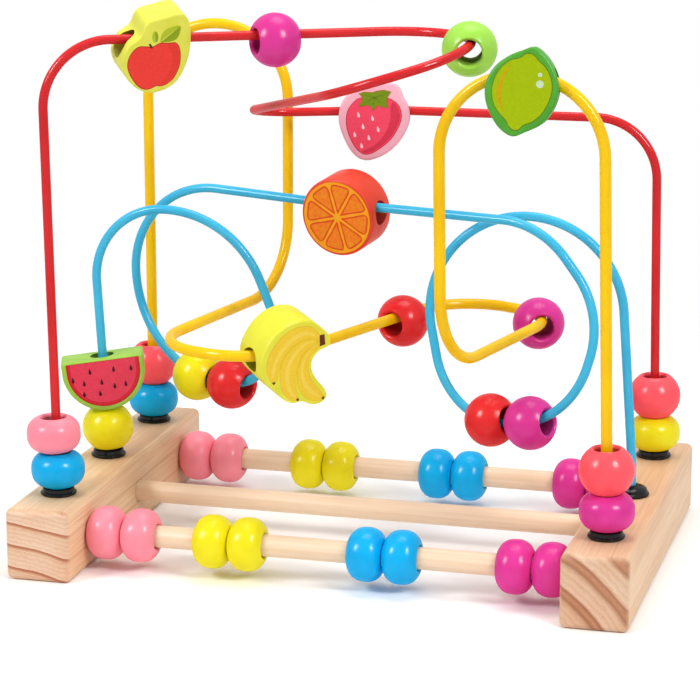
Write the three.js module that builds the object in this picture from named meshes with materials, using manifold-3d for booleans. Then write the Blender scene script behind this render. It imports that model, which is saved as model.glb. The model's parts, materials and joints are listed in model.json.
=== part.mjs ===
// Bead maze: two wooden feet joined by three rods carry three bent wires with beads and fruit sliders.
// Millimetres, +Z up, +X from the left foot to the right one, -Y towards the front.
// The finished group stands on Z = 0 with its bounding box centred over the origin.

import * as THREE from 'three';
import { mergeVertices } from 'three/addons/utils/BufferGeometryUtils.js';
import Module from 'manifold-3d';

const wasm = await Module();
wasm.setup();

// Fits
const GAP = 0.3; // kept between neighbouring pieces

// Wooden base
const BLOCK_WIDTH = 30;
const BLOCK_LENGTH = 190;
const BLOCK_HEIGHT = 33;
const BLOCK_EDGE = 3; // rounding of the top and bottom edges
const BLOCK_CORNER_SHARE = 1.4; // rounding of the upright edges, as a share of the one above
const FOOT_SPACING = 252; // between the middles of the two blocks
const ROW_SPACING = 66; // from the middle row of rods and sockets to the outer rows
const ROD_DIAMETER = 10;
const ROD_HEIGHT = 16.5; // rod axis above the floor
const ROD_SEAT = 10; // depth of a rod's blind seat in a block

// Wires and their sockets
const THIN_WIRE = 4.2;
const THICK_WIRE = 5;
const WIRE_SEAT = 9; // depth of a wire's end below the block's top
const SOCKET_RISE = 15; // upright stretch of wire above the block before it may lean
const SOCKET_BEND = 80;
const FERRULE_DIAMETER = 16.4;
const FERRULE_HEIGHT = 5;
const FERRULE_RIM = 1; // straight edge under the dome
const STEM_DIAMETER = 8.6;
const STEM_DEPTH = 6;

// Beads
const BEAD_DIAMETER = 24.4;
const FLAT_BEAD_THICKNESS = 16;
const FLAT_BEAD_FULLNESS = 2.5; // exponent of the profile: 2 is an ellipse, more is squarer
const ROUND_BEAD_THICKNESS = 19.6;
const ROUND_BEAD_FULLNESS = 2;
const BORE_DIAMETER = 11; // through every bead and fruit
const BORE_ROUNDING = 1.4;

// Fruit sliders
const FRUIT_THICKNESS = 19;
const FRUIT_BEVEL = 1.2;
const ORANGE_DIAMETER = 36.5;
const MELON_WIDTH = 39;
const MELON_HEIGHT = 25;
const MELON_HEADING = 20; // degrees that its right end is turned back
const MELON_ROLL = 3.5; // degrees that its right end is lifted

// Wire heights
const RED_TOP = 240;
const RED_REAR = 195.5;
const ARCH_TOP = 233;
const SNAKE_HEIGHT = 103; // level of the yellow wire's flat S

// Mesh fineness
const BEAD_SIDES = 12;
const ROD_SIDES = 16;
const WIRE_SIDES = 8;
const BORE_SIDES = 12;
const BEND_STEP = THREE.MathUtils.degToRad(10);
const OUTLINE_POINTS = 26;
const CURVE_STEPS = 10; // of a fruit's half circle
const DOME_SHARES = [1, 0.92, 0.74, 0.5]; // of a ferrule's radius, where its dome has a ring
const BEAD_SHARES = [-0.75, 0, 0.75]; // of a bead's half thickness, where its outside has a ring

// Values that follow from the sizes above
const SOCKET_X = FOOT_SPACING / 2;
const INNER_FACE = SOCKET_X - BLOCK_WIDTH / 2;
const BORE_RADIUS = BORE_DIAMETER / 2;
const RIM_RADIUS = BORE_RADIUS + BORE_ROUNDING;
const UP = new THREE.Vector3(0, 0, 1);

// Bend corners of the wires between their sockets, each as [x, y, z, bend radius]
const RED_CORNERS = [
  [-SOCKET_X - 3, -ROW_SPACING, RED_TOP - 1, 30],
  [37, 16, RED_TOP, 33],
  [66, -46, RED_TOP, 33],
  [10, -73, RED_TOP - 17, 33],
  [-78, 56, RED_REAR - 4, 18],
  [0, 59.5, RED_REAR, 40],
  [SOCKET_X - 2.5, ROW_SPACING, RED_REAR - 0.5, 29],
];
const YELLOW_CORNERS = [
  [-SOCKET_X, ROW_SPACING, ARCH_TOP, 35],
  [-55, ROW_SPACING, ARCH_TOP, 35],
  [-55.5, ROW_SPACING, SNAKE_HEIGHT + 3, 34],
  [-86, -55, SNAKE_HEIGHT, 30],
  [-27, -74, SNAKE_HEIGHT, 30],
  [27, 74, SNAKE_HEIGHT, 30],
  [82, 48, SNAKE_HEIGHT, 30],
  [52, -ROW_SPACING, SNAKE_HEIGHT - 2, 34],
  [50, -ROW_SPACING, ARCH_TOP, 35],
  [SOCKET_X - 5, -ROW_SPACING, ARCH_TOP - 2, 35],
];
const BLUE_CORNERS = [
  [-SOCKET_X - 6, 0, 153, 34],
  [-62, -1, 155, 51],
  [-29, 1, 69.5, 35],
  [-120, 36, 66, 49],
  [-125.5, 34, 162, 43],
  [-32, 18, 158, 35],
  [86, -19, 160, 41],
  [116, -27, 123, 40.5],
  [103.5, -30, 76, 46],
  [42, -3, 58.5, 38],
  [22.5, 3, 152, 45],
  [SOCKET_X - 9, 1, 165, 45],
];

// Fruit outlines seen from the front, as [right, up] from the bore's axis
const APPLE_OUTLINE = [
  [-2, -21.4], [8, -18.2], [14, -8.7], [16, 1.3], [15.6, 9.8], [12.5, 14.1], [4, 13.5],
  [-3.5, 11.8], [-7, 5.8], [-12.5, 2.3], [-16, -4.7], [-14.5, -11.7], [-9, -18.7],
];
const STRAWBERRY_OUTLINE = [
  [-4, -21.2], [5, -18.5], [12, -12.3], [16.3, -4], [16.5, 2.5], [13.5, 9], [11.2, 13.6], [7, 15.3],
  [0, 13.8], [-9, 12], [-14.5, 7.5], [-16.8, -1], [-15, -9], [-9.5, -18.4],
];
const BANANA_OUTLINE = [
  [2.5, 20.6], [9, 19.6], [15, 15.8], [20, 10.9], [20.6, 6.2], [15.4, 4], [12.6, 0.3], [12.8, -4.2],
  [16, -9.8], [21.2, -15.4], [22.9, -19.3], [20.4, -22.2], [15.5, -22.6], [9.7, -20.2],
  [5.2, -20.4], [0.2, -18.2], [-5.5, -12.8], [-13, -5.2], [-15, 1.2], [-13.6, 8], [-9.8, 14.4], [-4.2, 18.9],
];
const LIME_OUTLINE = [
  [-1.8, -22.8], [3.5, -20.8], [10.6, -16.8], [14.9, -9.8], [16.4, -2], [14.4, 5.2], [10, 11.4], [5.2, 14.6],
  [1, 13.2], [-4.5, 10.8], [-10.5, 6], [-14, -1], [-13.9, -7.9], [-11.2, -14.6], [-6.9, -20.2],
];

// Where the sliders sit: a share of the way along a run or a bend of their wire, with the length of a fruit's
// bore, how far its outline is set below the bore, and turns in degrees
const FRUIT_PLACES = {
  apple: { run: 2, share: 0.15, bore: 32, turns: { yaw: 8, roll: 5, lean: 14 } },
  strawberry: { run: 7, share: -0.12, bore: 33, below: 1.5, turns: { yaw: 10, lean: -8 } },
  banana: { bend: 5, share: 0.755, bore: 32, turns: { lean: 13 } },
  lime: { bend: 9, share: 1, bore: 30, below: 0.7, turns: { yaw: 7.5, lean: -7 } },
  orange: { run: 7, share: 0.188, bore: ORANGE_DIAMETER, below: 0.9, turns: { yaw: 5, lean: 7 } },
};
const BEAD_PLACES = {
  red_wire_magenta_bead: { run: 2, share: 0.61, yaw: 12 },
  red_wire_green_bead: { bend: 3, share: 0.16 },
  yellow_wire_red_bead: { run: 6, share: 0.84 },
  yellow_wire_magenta_bead: { bend: 7, share: 0.54 },
  left_loop_red_bead: { bend: 3, share: 0.95 },
  left_loop_yellow_bead: { bend: 4, share: 0.19 },
  right_loop_magenta_bead: { bend: 9, share: 0.98 },
  right_loop_red_bead: { bend: 10, share: 0.2 },
};

// How the free length of an outer rod is shared between the gaps of its four pairs of beads
const FRONT_GAP_SHARES = [0.195, 0.425, 0.38];
const REAR_GAP_SHARES = [0.275, 0.355, 0.37];

const COLOURS = {
  pine: 0xe6c49c, dowel: 0xf0d2b0, black: 0x141414,
  redPaint: 0xdc2b30, yellowPaint: 0xfbcb08, bluePaint: 0x40b8e0,
  pink: 0xfa8a9a, yellow: 0xf0e428, blue: 0x10a0e8, magenta: 0xe23a9c,
  coral: 0xff5560, red: 0xe83030, green: 0xa0dc50,
  apple: 0xeef04a, strawberry: 0xf4b0c0, banana: 0xf0ee48, lime: 0x4aa830,
  orange: 0xf05038, watermelon: 0x9cd45c,
};

// Materials, one for each colour
const finish = (colour, roughness, metalness = 0) => (
  new THREE.MeshStandardMaterial({ color: colour, roughness, metalness })
);
const MATERIALS = Object.fromEntries(
  Object.entries(COLOURS).map(([name, colour]) => [name, finish(colour, 0.35)]),
);
MATERIALS.pine.roughness = 0.6;
MATERIALS.dowel.roughness = 0.6;

// Solids by union and cut

function toSolid(geometry) {
  const bare = geometry.index ? geometry.toNonIndexed() : geometry.clone();
  bare.deleteAttribute('normal');
  bare.deleteAttribute('uv');
  const welded = mergeVertices(bare);
  return new wasm.Manifold(new wasm.Mesh({
    numProp: 3,
    vertProperties: new Float32Array(welded.attributes.position.array),
    triVerts: new Uint32Array(welded.index.array),
  }));
}

function cut(geometry, tools) {
  const solid = tools.reduce((rest, tool) => rest.subtract(toSolid(tool)), toSolid(geometry));
  const mesh = solid.getMesh();
  const result = new THREE.BufferGeometry();
  result.setAttribute('position', new THREE.BufferAttribute(mesh.vertProperties, 3));
  result.setIndex(new THREE.BufferAttribute(mesh.triVerts, 1));
  result.computeVertexNormals();
  return result;
}

// Radius of a polygon whose flats touch the given circle from outside
const around = (radius, sides) => radius / Math.cos(Math.PI / sides);

function rod(radius, length, sides, axis) {
  const geometry = new THREE.CylinderGeometry(radius, radius, length, sides);
  if (axis === 'x') geometry.rotateZ(Math.PI / 2);
  if (axis === 'z') geometry.rotateX(Math.PI / 2);
  return geometry;
}

function piece(name, geometry, material, matrix = new THREE.Matrix4()) {
  const mesh = new THREE.Mesh(geometry, material);
  mesh.name = name;
  mesh.applyMatrix4(matrix);
  return mesh;
}

function group(name, children) {
  const result = new THREE.Group();
  result.name = name;
  result.add(...children);
  return result;
}

// A wire path of straight runs and round bends: run i ends at bend i, and bend i starts run i + 1
class BentWire extends THREE.Curve {
  constructor(corners) {
    super();
    this.runs = [];
    this.bends = [];
    this.stations = [];
    const points = corners.map(([x, y, z]) => new THREE.Vector3(x, y, z));
    const last = points.length - 1;
    let start = points[0];
    for (let i = 1; i < last; i += 1) {
      const reach = [i === 1 ? 1 : 0.5, i === last - 1 ? 1 : 0.5];
      const bend = BentWire.bend(points[i - 1], points[i], points[i + 1], corners[i][3], reach);
      this.addRun(start, bend.start);
      this.addBend(bend);
      start = bend.end;
    }
    this.addRun(start, points[last]);
  }

  // The arc that rounds one corner, no longer than its share of either neighbouring edge
  static bend(before, corner, after, wantedRadius, [reachBefore, reachAfter]) {
    const into = corner.clone().sub(before);
    const out = after.clone().sub(corner);
    const limit = Math.min(into.length() * reachBefore, out.length() * reachAfter);
    into.normalize();
    out.normalize();
    const angle = into.angleTo(out);
    const trim = Math.min(wantedRadius * Math.tan(angle / 2), limit);
    const axis = into.clone().cross(out).normalize();
    const radius = angle > 0 ? trim / Math.tan(angle / 2) : 0;
    const start = corner.clone().addScaledVector(into, -trim);
    const end = corner.clone().addScaledVector(out, trim);
    const arm = into.clone().cross(axis).multiplyScalar(radius);
    const centre = start.clone().sub(arm);
    return { start, end, axis, radius, angle, arm, centre };
  }

  addRun(start, end) {
    const direction = end.clone().sub(start);
    const length = direction.length();
    this.runs.push({ start, direction: direction.normalize(), length });
    if (this.stations.length === 0) this.stations.push({ point: start, tangent: direction });
    if (length > GAP) this.stations.push({ point: end, tangent: direction });
  }

  addBend(bend) {
    this.bends.push(bend);
    const steps = Math.ceil(bend.angle / BEND_STEP);
    for (let i = 1; i <= steps; i += 1) {
      const { point, tangent } = this.onBend(this.bends.length - 1, i / steps);
      this.stations.push({ point, tangent });
    }
  }

  onBend(index, share) {
    const { axis, radius, angle, arm, centre } = this.bends[index];
    const turned = arm.clone().applyAxisAngle(axis, angle * share);
    const inward = turned.clone().normalize().negate();
    const point = centre.clone().add(turned);
    return { point, tangent: axis.clone().cross(turned).normalize(), inward, radius };
  }

  onRun(index, share) {
    const { start, direction, length } = this.runs[index];
    const point = start.clone().addScaledVector(direction, length * share);
    return { point, tangent: direction.clone(), inward: null, radius: Infinity };
  }

  at({ run, bend, share }) {
    return bend === undefined ? this.onRun(run, share) : this.onBend(bend, share);
  }

  // The run above a socket, as a point at the given height and the direction upwards
  upright(side, height) {
    const run = side === 'left' ? this.runs[1] : this.runs[this.runs.length - 2];
    const direction = run.direction.clone().multiplyScalar(Math.sign(run.direction.z));
    const point = run.start.clone().addScaledVector(direction, (height - run.start.z) / direction.z);
    return { point, direction };
  }

  getPointAt(share) {
    return this.stations[Math.round(share * (this.stations.length - 1))].point.clone();
  }

  getTangentAt(share) {
    return this.stations[Math.round(share * (this.stations.length - 1))].tangent.clone();
  }

  tube(radius) {
    const section = new THREE.Shape().absarc(0, 0, radius, 0, Math.PI * 2);
    const steps = this.stations.length - 1;
    return new THREE.ExtrudeGeometry(section, { steps, curveSegments: WIRE_SIDES / 2, extrudePath: this });
  }
}

function socketWire(leftRow, rightRow, corners) {
  const socket = (side, row, height) => [side * SOCKET_X, row * ROW_SPACING, height, SOCKET_BEND];
  const end = BLOCK_HEIGHT - WIRE_SEAT;
  const mouth = BLOCK_HEIGHT + SOCKET_RISE;
  return new BentWire([
    socket(-1, leftRow, end), socket(-1, leftRow, mouth), ...corners,
    socket(1, rightRow, mouth), socket(1, rightRow, end),
  ]);
}

const WIRES = {
  red: { path: socketWire(-1, 1, RED_CORNERS), radius: THIN_WIRE / 2 },
  yellow: { path: socketWire(1, -1, YELLOW_CORNERS), radius: THICK_WIRE / 2 },
  blue: { path: socketWire(0, 0, BLUE_CORNERS), radius: THIN_WIRE / 2 },
};

// Sockets by row, front to rear, with the wire that stands in each
const ROWS = [
  { row: 'front', y: -ROW_SPACING, left: 'red', right: 'yellow' },
  { row: 'middle', y: 0, left: 'blue', right: 'blue' },
  { row: 'rear', y: ROW_SPACING, left: 'yellow', right: 'red' },
];

// Base

function blockGeometry(side) {
  const half = { x: BLOCK_WIDTH / 2, y: BLOCK_LENGTH / 2 };
  const r = BLOCK_EDGE * BLOCK_CORNER_SHARE;
  const plan = new THREE.Shape();
  plan.absarc(half.x - r, half.y - r, r, 0, Math.PI / 2);
  plan.absarc(r - half.x, half.y - r, r, Math.PI / 2, Math.PI);
  plan.absarc(r - half.x, r - half.y, r, Math.PI, Math.PI * 1.5);
  plan.absarc(half.x - r, r - half.y, r, Math.PI * 1.5, Math.PI * 2);
  const edge = BLOCK_EDGE;
  const bevel = { bevelThickness: edge, bevelSize: edge, bevelOffset: -edge, bevelSegments: 2 };
  const depth = BLOCK_HEIGHT - 2 * edge;
  const body = new THREE.ExtrudeGeometry(plan, { depth, curveSegments: 2, ...bevel });
  body.translate(side * SOCKET_X, 0, edge);
  const tools = ROWS.flatMap((socket) => {
    const wire = WIRES[side < 0 ? socket.left : socket.right];
    const seat = rod(around(ROD_DIAMETER / 2 + GAP, ROD_SIDES), 2 * ROD_SEAT, ROD_SIDES, 'x');
    seat.translate(side * INNER_FACE, socket.y, ROD_HEIGHT);
    const stem = rod(around(STEM_DIAMETER / 2 + GAP, BORE_SIDES), 2 * (STEM_DEPTH + GAP), BORE_SIDES, 'z');
    stem.translate(side * SOCKET_X, socket.y, BLOCK_HEIGHT);
    const end = rod(around(wire.radius + GAP, BORE_SIDES), 2 * (WIRE_SEAT + GAP), BORE_SIDES, 'z');
    end.translate(side * SOCKET_X, socket.y, BLOCK_HEIGHT);
    return [seat, stem, end];
  });
  return cut(body, tools);
}

// Height of a ferrule's dome above the block at a distance from its axis
function domeHeight(distance) {
  const share = distance / (FERRULE_DIAMETER / 2);
  return GAP + FERRULE_RIM + (FERRULE_HEIGHT - FERRULE_RIM) * Math.sqrt(1 - share * share);
}

function ferruleGeometry(wireRadius) {
  const bore = around(wireRadius + GAP, BORE_SIDES);
  const edge = FERRULE_DIAMETER / 2;
  const dome = DOME_SHARES.map((share) => [edge * share, domeHeight(edge * share)]);
  const profile = [
    [bore, -STEM_DEPTH], [STEM_DIAMETER / 2, -STEM_DEPTH], [STEM_DIAMETER / 2, GAP], [edge, GAP],
    ...dome, [bore, domeHeight(bore)], [bore, -STEM_DEPTH],
  ];
  const points = profile.map(([r, z]) => new THREE.Vector2(r, z));
  return new THREE.LatheGeometry(points, BORE_SIDES).rotateX(Math.PI / 2);
}

function makeBase() {
  const length = 2 * (INNER_FACE + ROD_SEAT - GAP);
  const bar = rod(ROD_DIAMETER / 2, length, ROD_SIDES, 'x');
  const at = (y) => new THREE.Matrix4().makeTranslation(0, y, ROD_HEIGHT);
  return group('base', [
    piece('left_base_block', blockGeometry(-1), MATERIALS.pine),
    piece('right_base_block', blockGeometry(1), MATERIALS.pine),
    piece('front_rod', bar, MATERIALS.dowel, at(-ROW_SPACING)),
    piece('centre_rod', bar, MATERIALS.dowel, at(0)),
    piece('rear_rod', bar, MATERIALS.dowel, at(ROW_SPACING)),
  ]);
}

function makeWires() {
  const paint = { red: MATERIALS.redPaint, yellow: MATERIALS.yellowPaint, blue: MATERIALS.bluePaint };
  const tubes = Object.entries(WIRES).map(([name, { path, radius }]) => (
    piece(`${name}_wire`, path.tube(radius), paint[name])
  ));
  const ferrules = ROWS.flatMap(({ row, y, ...sides }) => ['left', 'right'].map((side) => {
    const x = side === 'left' ? -SOCKET_X : SOCKET_X;
    const at = new THREE.Matrix4().makeTranslation(x, y, BLOCK_HEIGHT);
    return piece(`${side}_${row}_ferrule`, ferruleGeometry(WIRES[sides[side]].radius), MATERIALS.black, at);
  }));
  return group('wires', [...tubes, ...ferrules]);
}

// Beads

function beadGeometry(thickness, fullness) {
  const half = thickness / 2;
  const radius = BEAD_DIAMETER / 2;
  const bore = around(BORE_RADIUS, BEAD_SIDES);
  const rim = bore + BORE_ROUNDING;
  const depth = half / (1 - (rim / radius) ** fullness) ** (1 / fullness);
  const outside = BEAD_SHARES.map((share) => {
    const z = half * share;
    return [radius * (1 - Math.abs(z / depth) ** fullness) ** (1 / fullness), z];
  });
  const inside = half - BORE_ROUNDING;
  const profile = [
    [bore, -inside], [rim, -half], ...outside, [rim, half], [bore, inside], [bore, -inside],
  ];
  const points = profile.map(([r, z]) => new THREE.Vector2(r, z));
  return new THREE.LatheGeometry(points, BEAD_SIDES).rotateX(Math.PI / 2);
}

const FLAT_BEAD = {
  geometry: beadGeometry(FLAT_BEAD_THICKNESS, FLAT_BEAD_FULLNESS),
  thickness: FLAT_BEAD_THICKNESS,
};
const ROUND_BEAD = {
  geometry: beadGeometry(ROUND_BEAD_THICKNESS, ROUND_BEAD_FULLNESS),
  thickness: ROUND_BEAD_THICKNESS,
};

// Axes with Z along the given direction, or with X along it, and the remaining ones level or upright
function frameAlongZ(direction, point) {
  const side = new THREE.Vector3(0, 1, 0).cross(direction).normalize();
  const turned = Math.abs(direction.y) > 0.9 ? new THREE.Vector3(1, 0, 0) : side;
  const second = direction.clone().cross(turned).normalize();
  return new THREE.Matrix4().makeBasis(second.clone().cross(direction), second, direction).setPosition(point);
}

function frameAlongX(direction, point) {
  const ahead = direction.clone().multiplyScalar(Math.sign(direction.x));
  const back = UP.clone().cross(ahead).normalize();
  return new THREE.Matrix4().makeBasis(ahead, back, ahead.clone().cross(back)).setPosition(point);
}

// Middle of a bore that hangs on a wire, as low as its slack allows over its whole length. The bore may stand
// at an angle to the wire in the level plane (yaw) and in the upright one (roll).
function hangingPoint({ point, tangent, inward, radius }, boreLength, wireRadius, { yaw = 0, roll = 0 }) {
  const half = boreLength / 2;
  const play = BORE_RADIUS - wireRadius - GAP;
  const aside = half * Math.sin(yaw);
  const slack = Math.sqrt(play * play - aside * aside) - half * Math.sin(roll);
  const down = UP.clone().addScaledVector(tangent, -UP.dot(tangent)).normalize().negate();
  if (!inward) return point.clone().addScaledVector(down, slack);
  const sag = (radius - Math.sqrt(radius * radius - half * half)) / 2;
  const lean = Math.abs(inward.dot(down));
  const drop = Math.sqrt(slack * slack - sag * sag * (1 - lean * lean)) - sag * lean;
  return point.clone().addScaledVector(inward, sag).addScaledVector(down, drop);
}

function wireBead(wireName, colour, name, wantedAxis) {
  const { path, radius } = WIRES[wireName];
  const place = path.at(BEAD_PLACES[name]);
  const yaw = THREE.MathUtils.degToRad(BEAD_PLACES[name].yaw ?? 0);
  const axis = wantedAxis ?? place.tangent.clone().applyAxisAngle(UP, yaw);
  const roll = wantedAxis ? axis.angleTo(place.tangent) : 0;
  const point = hangingPoint(place, ROUND_BEAD.thickness, radius, { yaw, roll });
  return piece(name, ROUND_BEAD.geometry, MATERIALS[colour], frameAlongZ(axis, point));
}

// Two beads that meet on a loop, both turned along the line between them
function loopBeads(side, colours) {
  const names = colours.map((colour) => `${side}_loop_${colour}_bead`);
  const [first, second] = names.map((name) => WIRES.blue.path.at(BEAD_PLACES[name]).point);
  const axis = second.clone().sub(first).normalize();
  return names.map((name, i) => wireBead('blue', colours[i], name, axis));
}

// Abacus beads: pairs from the left block to the right one, with the free length shared between the gaps
const PAIR_COLOURS = ['pink', 'yellow', 'blue', 'magenta'];

function makeAbacus(row, y, gapShares) {
  const pitch = FLAT_BEAD_THICKNESS + GAP;
  const beadCount = 2 * PAIR_COLOURS.length;
  const free = 2 * INNER_FACE - GAP - beadCount * pitch;
  const sink = BORE_RADIUS - ROD_DIAMETER / 2 - GAP;
  let x = -INNER_FACE + GAP + FLAT_BEAD_THICKNESS / 2;
  const beads = PAIR_COLOURS.flatMap((colour, pair) => {
    const both = [1, 2].map((number) => {
      const point = new THREE.Vector3(x, y, ROD_HEIGHT - sink);
      x += pitch;
      const at = frameAlongZ(new THREE.Vector3(1, 0, 0), point);
      return piece(`${row}_${colour}_bead_${number}`, FLAT_BEAD.geometry, MATERIALS[colour], at);
    });
    x += free * (gapShares[pair] ?? 0);
    return both;
  });
  return group(`${row}_abacus`, beads);
}

// Stacks of beads standing on the ferrules, with how far a bead has slipped to the right in its slack
const STACKS = [
  { name: 'left_front', wire: 'red', beads: [['blue', FLAT_BEAD], ['pink', FLAT_BEAD, -1.4]] },
  { name: 'left_middle', wire: 'blue', beads: [['yellow', ROUND_BEAD]] },
  { name: 'left_rear', wire: 'yellow', beads: [['blue', FLAT_BEAD], ['coral', ROUND_BEAD]] },
  { name: 'right_front', wire: 'yellow', beads: [['magenta', FLAT_BEAD], ['coral', ROUND_BEAD]] },
  { name: 'right_rear', wire: 'red', beads: [['yellow', FLAT_BEAD], ['coral', ROUND_BEAD]] },
];

// Where a stack starts: above the ferrule's dome, a little higher where the wire leans
function stackFoot(wireName, side) {
  const { direction } = WIRES[wireName].path.upright(side, 0);
  const leanLift = BEAD_DIAMETER / 2 * Math.hypot(direction.x, direction.y);
  const foot = BLOCK_HEIGHT + domeHeight(RIM_RADIUS) + leanLift + GAP;
  return WIRES[wireName].path.upright(side, foot);
}

function makeStacks() {
  return group('stacks', STACKS.flatMap(({ name, wire, beads }) => {
    const { point, direction } = stackFoot(wire, name.split('_')[0]);
    let rise = 0;
    return beads.map(([colour, { geometry, thickness }, slip = 0]) => {
      const middle = point.clone().addScaledVector(direction, rise + thickness / 2);
      middle.x += slip;
      rise += thickness + GAP;
      return piece(`${name}_${colour}_bead`, geometry, MATERIALS[colour], frameAlongZ(direction, middle));
    });
  }));
}

// Fruit sliders

function closedOutline(points) {
  const curve = new THREE.CatmullRomCurve3(points.map(([u, v]) => new THREE.Vector3(u, v, 0)), true);
  return new THREE.Shape(curve.getSpacedPoints(OUTLINE_POINTS).slice(0, -1));
}

function melonOutline() {
  const half = MELON_WIDTH / 2;
  const outline = new THREE.Shape().absarc(0, 0, half, Math.PI, Math.PI * 2);
  outline.lineTo(half, MELON_HEIGHT - half);
  outline.lineTo(-half, MELON_HEIGHT - half);
  return outline;
}

// A plate with its front towards -Y, bored along X or Z
function fruitGeometry(outline, boreAxis, below = 0) {
  const bevel = { bevelThickness: FRUIT_BEVEL, bevelSize: FRUIT_BEVEL, bevelOffset: -FRUIT_BEVEL };
  const depth = FRUIT_THICKNESS - 2 * FRUIT_BEVEL;
  const fineness = { bevelSegments: 1, curveSegments: CURVE_STEPS };
  const plate = new THREE.ExtrudeGeometry(outline, { depth, ...fineness, ...bevel });
  plate.translate(0, -below, -depth / 2).rotateX(Math.PI / 2);
  const bore = rod(around(BORE_RADIUS, BORE_SIDES), 3 * BEAD_DIAMETER, BORE_SIDES, boreAxis);
  return cut(plate, [bore]);
}

// Turns about the wire's frame, in degrees: yaw turns the face right, roll lifts the right side, lean brings
// the top forward
function turned({ yaw = 0, roll = 0, lean = 0 }) {
  const [x, y, z] = [lean, -roll, yaw].map(THREE.MathUtils.degToRad);
  return new THREE.Matrix4().makeRotationFromEuler(new THREE.Euler(x, y, z, 'ZYX'));
}

function hangingFruit(wireName, name, outline) {
  const { path, radius } = WIRES[wireName];
  const { bore, below, turns, ...where } = FRUIT_PLACES[name];
  const [yaw, roll] = [turns.yaw ?? 0, turns.roll ?? 0].map(THREE.MathUtils.degToRad);
  const place = path.at(where);
  const point = hangingPoint(place, bore, radius, { yaw, roll });
  const matrix = frameAlongX(place.tangent, point).multiply(turned(turns));
  return piece(name, fruitGeometry(outline, 'x', below), MATERIALS[name], matrix);
}

function makeWatermelon() {
  const { point, direction } = stackFoot('blue', 'left');
  const rise = ROUND_BEAD_THICKNESS + GAP + MELON_WIDTH / 2;
  const middle = point.clone().addScaledVector(direction, rise);
  const heading = THREE.MathUtils.degToRad(MELON_HEADING);
  const ahead = new THREE.Vector3(Math.cos(heading), Math.sin(heading), 0);
  const back = direction.clone().cross(ahead).normalize();
  const matrix = new THREE.Matrix4().makeBasis(back.clone().cross(direction), back, direction);
  matrix.setPosition(middle).multiply(turned({ roll: MELON_ROLL }));
  const geometry = fruitGeometry(melonOutline(), 'z');
  return piece('watermelon', geometry, MATERIALS.watermelon, matrix);
}

function makeRedSliders() {
  return group('red_wire_sliders', [
    hangingFruit('red', 'apple', closedOutline(APPLE_OUTLINE)),
    wireBead('red', 'magenta', 'red_wire_magenta_bead'),
    wireBead('red', 'green', 'red_wire_green_bead'),
    hangingFruit('red', 'strawberry', closedOutline(STRAWBERRY_OUTLINE)),
  ]);
}

function makeYellowSliders() {
  return group('yellow_wire_sliders', [
    hangingFruit('yellow', 'banana', closedOutline(BANANA_OUTLINE)),
    hangingFruit('yellow', 'lime', closedOutline(LIME_OUTLINE)),
    wireBead('yellow', 'red', 'yellow_wire_red_bead'),
    wireBead('yellow', 'magenta', 'yellow_wire_magenta_bead'),
  ]);
}

function makeBlueSliders() {
  const orange = new THREE.Shape().absarc(0, 0, ORANGE_DIAMETER / 2, 0, Math.PI * 2);
  return group('blue_wire_sliders', [
    makeWatermelon(),
    hangingFruit('blue', 'orange', orange),
    ...loopBeads('left', ['red', 'yellow']),
    ...loopBeads('right', ['magenta', 'red']),
  ]);
}

const toy = group('bead_maze', [
  makeBase(),
  makeWires(),
  makeAbacus('front', -ROW_SPACING, FRONT_GAP_SHARES),
  makeAbacus('rear', ROW_SPACING, REAR_GAP_SHARES),
  makeStacks(),
  makeRedSliders(),
  makeYellowSliders(),
  makeBlueSliders(),
]);

// Origin below the middle of the whole toy
const extent = new THREE.Box3().setFromObject(toy, true);
const middle = extent.getCenter(new THREE.Vector3());
toy.position.set(-middle.x, -middle.y, -extent.min.z);
toy.updateMatrixWorld(true);

export default toy;
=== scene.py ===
"""Fine visual model of a bead maze, built on the part's own frame.

Sizes are in millimetres, measured from the point on the floor between the two feet, as on the part.
They become metres where a mesh is made or placed.
"""

import json
import logging
import math
from abc import ABC, abstractmethod
from contextlib import contextmanager
from dataclasses import dataclass, field
from enum import Enum
from typing import Iterator, Protocol, Sequence

import bpy
from mathutils import Matrix, Quaternion, Vector


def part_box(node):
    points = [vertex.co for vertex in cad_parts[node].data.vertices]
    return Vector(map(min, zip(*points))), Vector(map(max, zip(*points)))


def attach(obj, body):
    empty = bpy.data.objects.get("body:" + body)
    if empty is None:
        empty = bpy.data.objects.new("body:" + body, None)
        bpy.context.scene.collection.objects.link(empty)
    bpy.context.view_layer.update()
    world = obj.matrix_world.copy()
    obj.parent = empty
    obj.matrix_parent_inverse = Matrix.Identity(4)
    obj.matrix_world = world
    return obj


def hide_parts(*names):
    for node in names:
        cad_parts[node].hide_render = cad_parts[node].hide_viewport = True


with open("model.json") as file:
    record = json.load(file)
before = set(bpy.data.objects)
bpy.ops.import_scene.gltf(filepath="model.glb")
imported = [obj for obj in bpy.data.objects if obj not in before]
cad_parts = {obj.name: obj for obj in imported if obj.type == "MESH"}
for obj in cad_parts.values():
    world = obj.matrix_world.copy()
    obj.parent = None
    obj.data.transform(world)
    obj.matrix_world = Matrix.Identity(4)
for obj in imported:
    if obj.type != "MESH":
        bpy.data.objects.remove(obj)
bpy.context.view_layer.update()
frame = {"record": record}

LOG = logging.getLogger("bead_maze")
MM = 0.001
UP = Vector((0, 0, 1))
GAP = 0.3  # kept between neighbouring pieces, as on the part
WELD = 1e-6  # metres, closes the seam of a spun mesh
TURN_STEPS = 56  # of a full spin
CYLINDER_STEPS = 48
PRINT_STEPS = 4  # between two points of a printed outline
SMOOTH_ANGLE = math.radians(38)  # edges below it are shaded round
SHARP_ANGLE = math.radians(70)  # edges above it are rounded off
STRAIGHT = Matrix.Identity(3)

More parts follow.
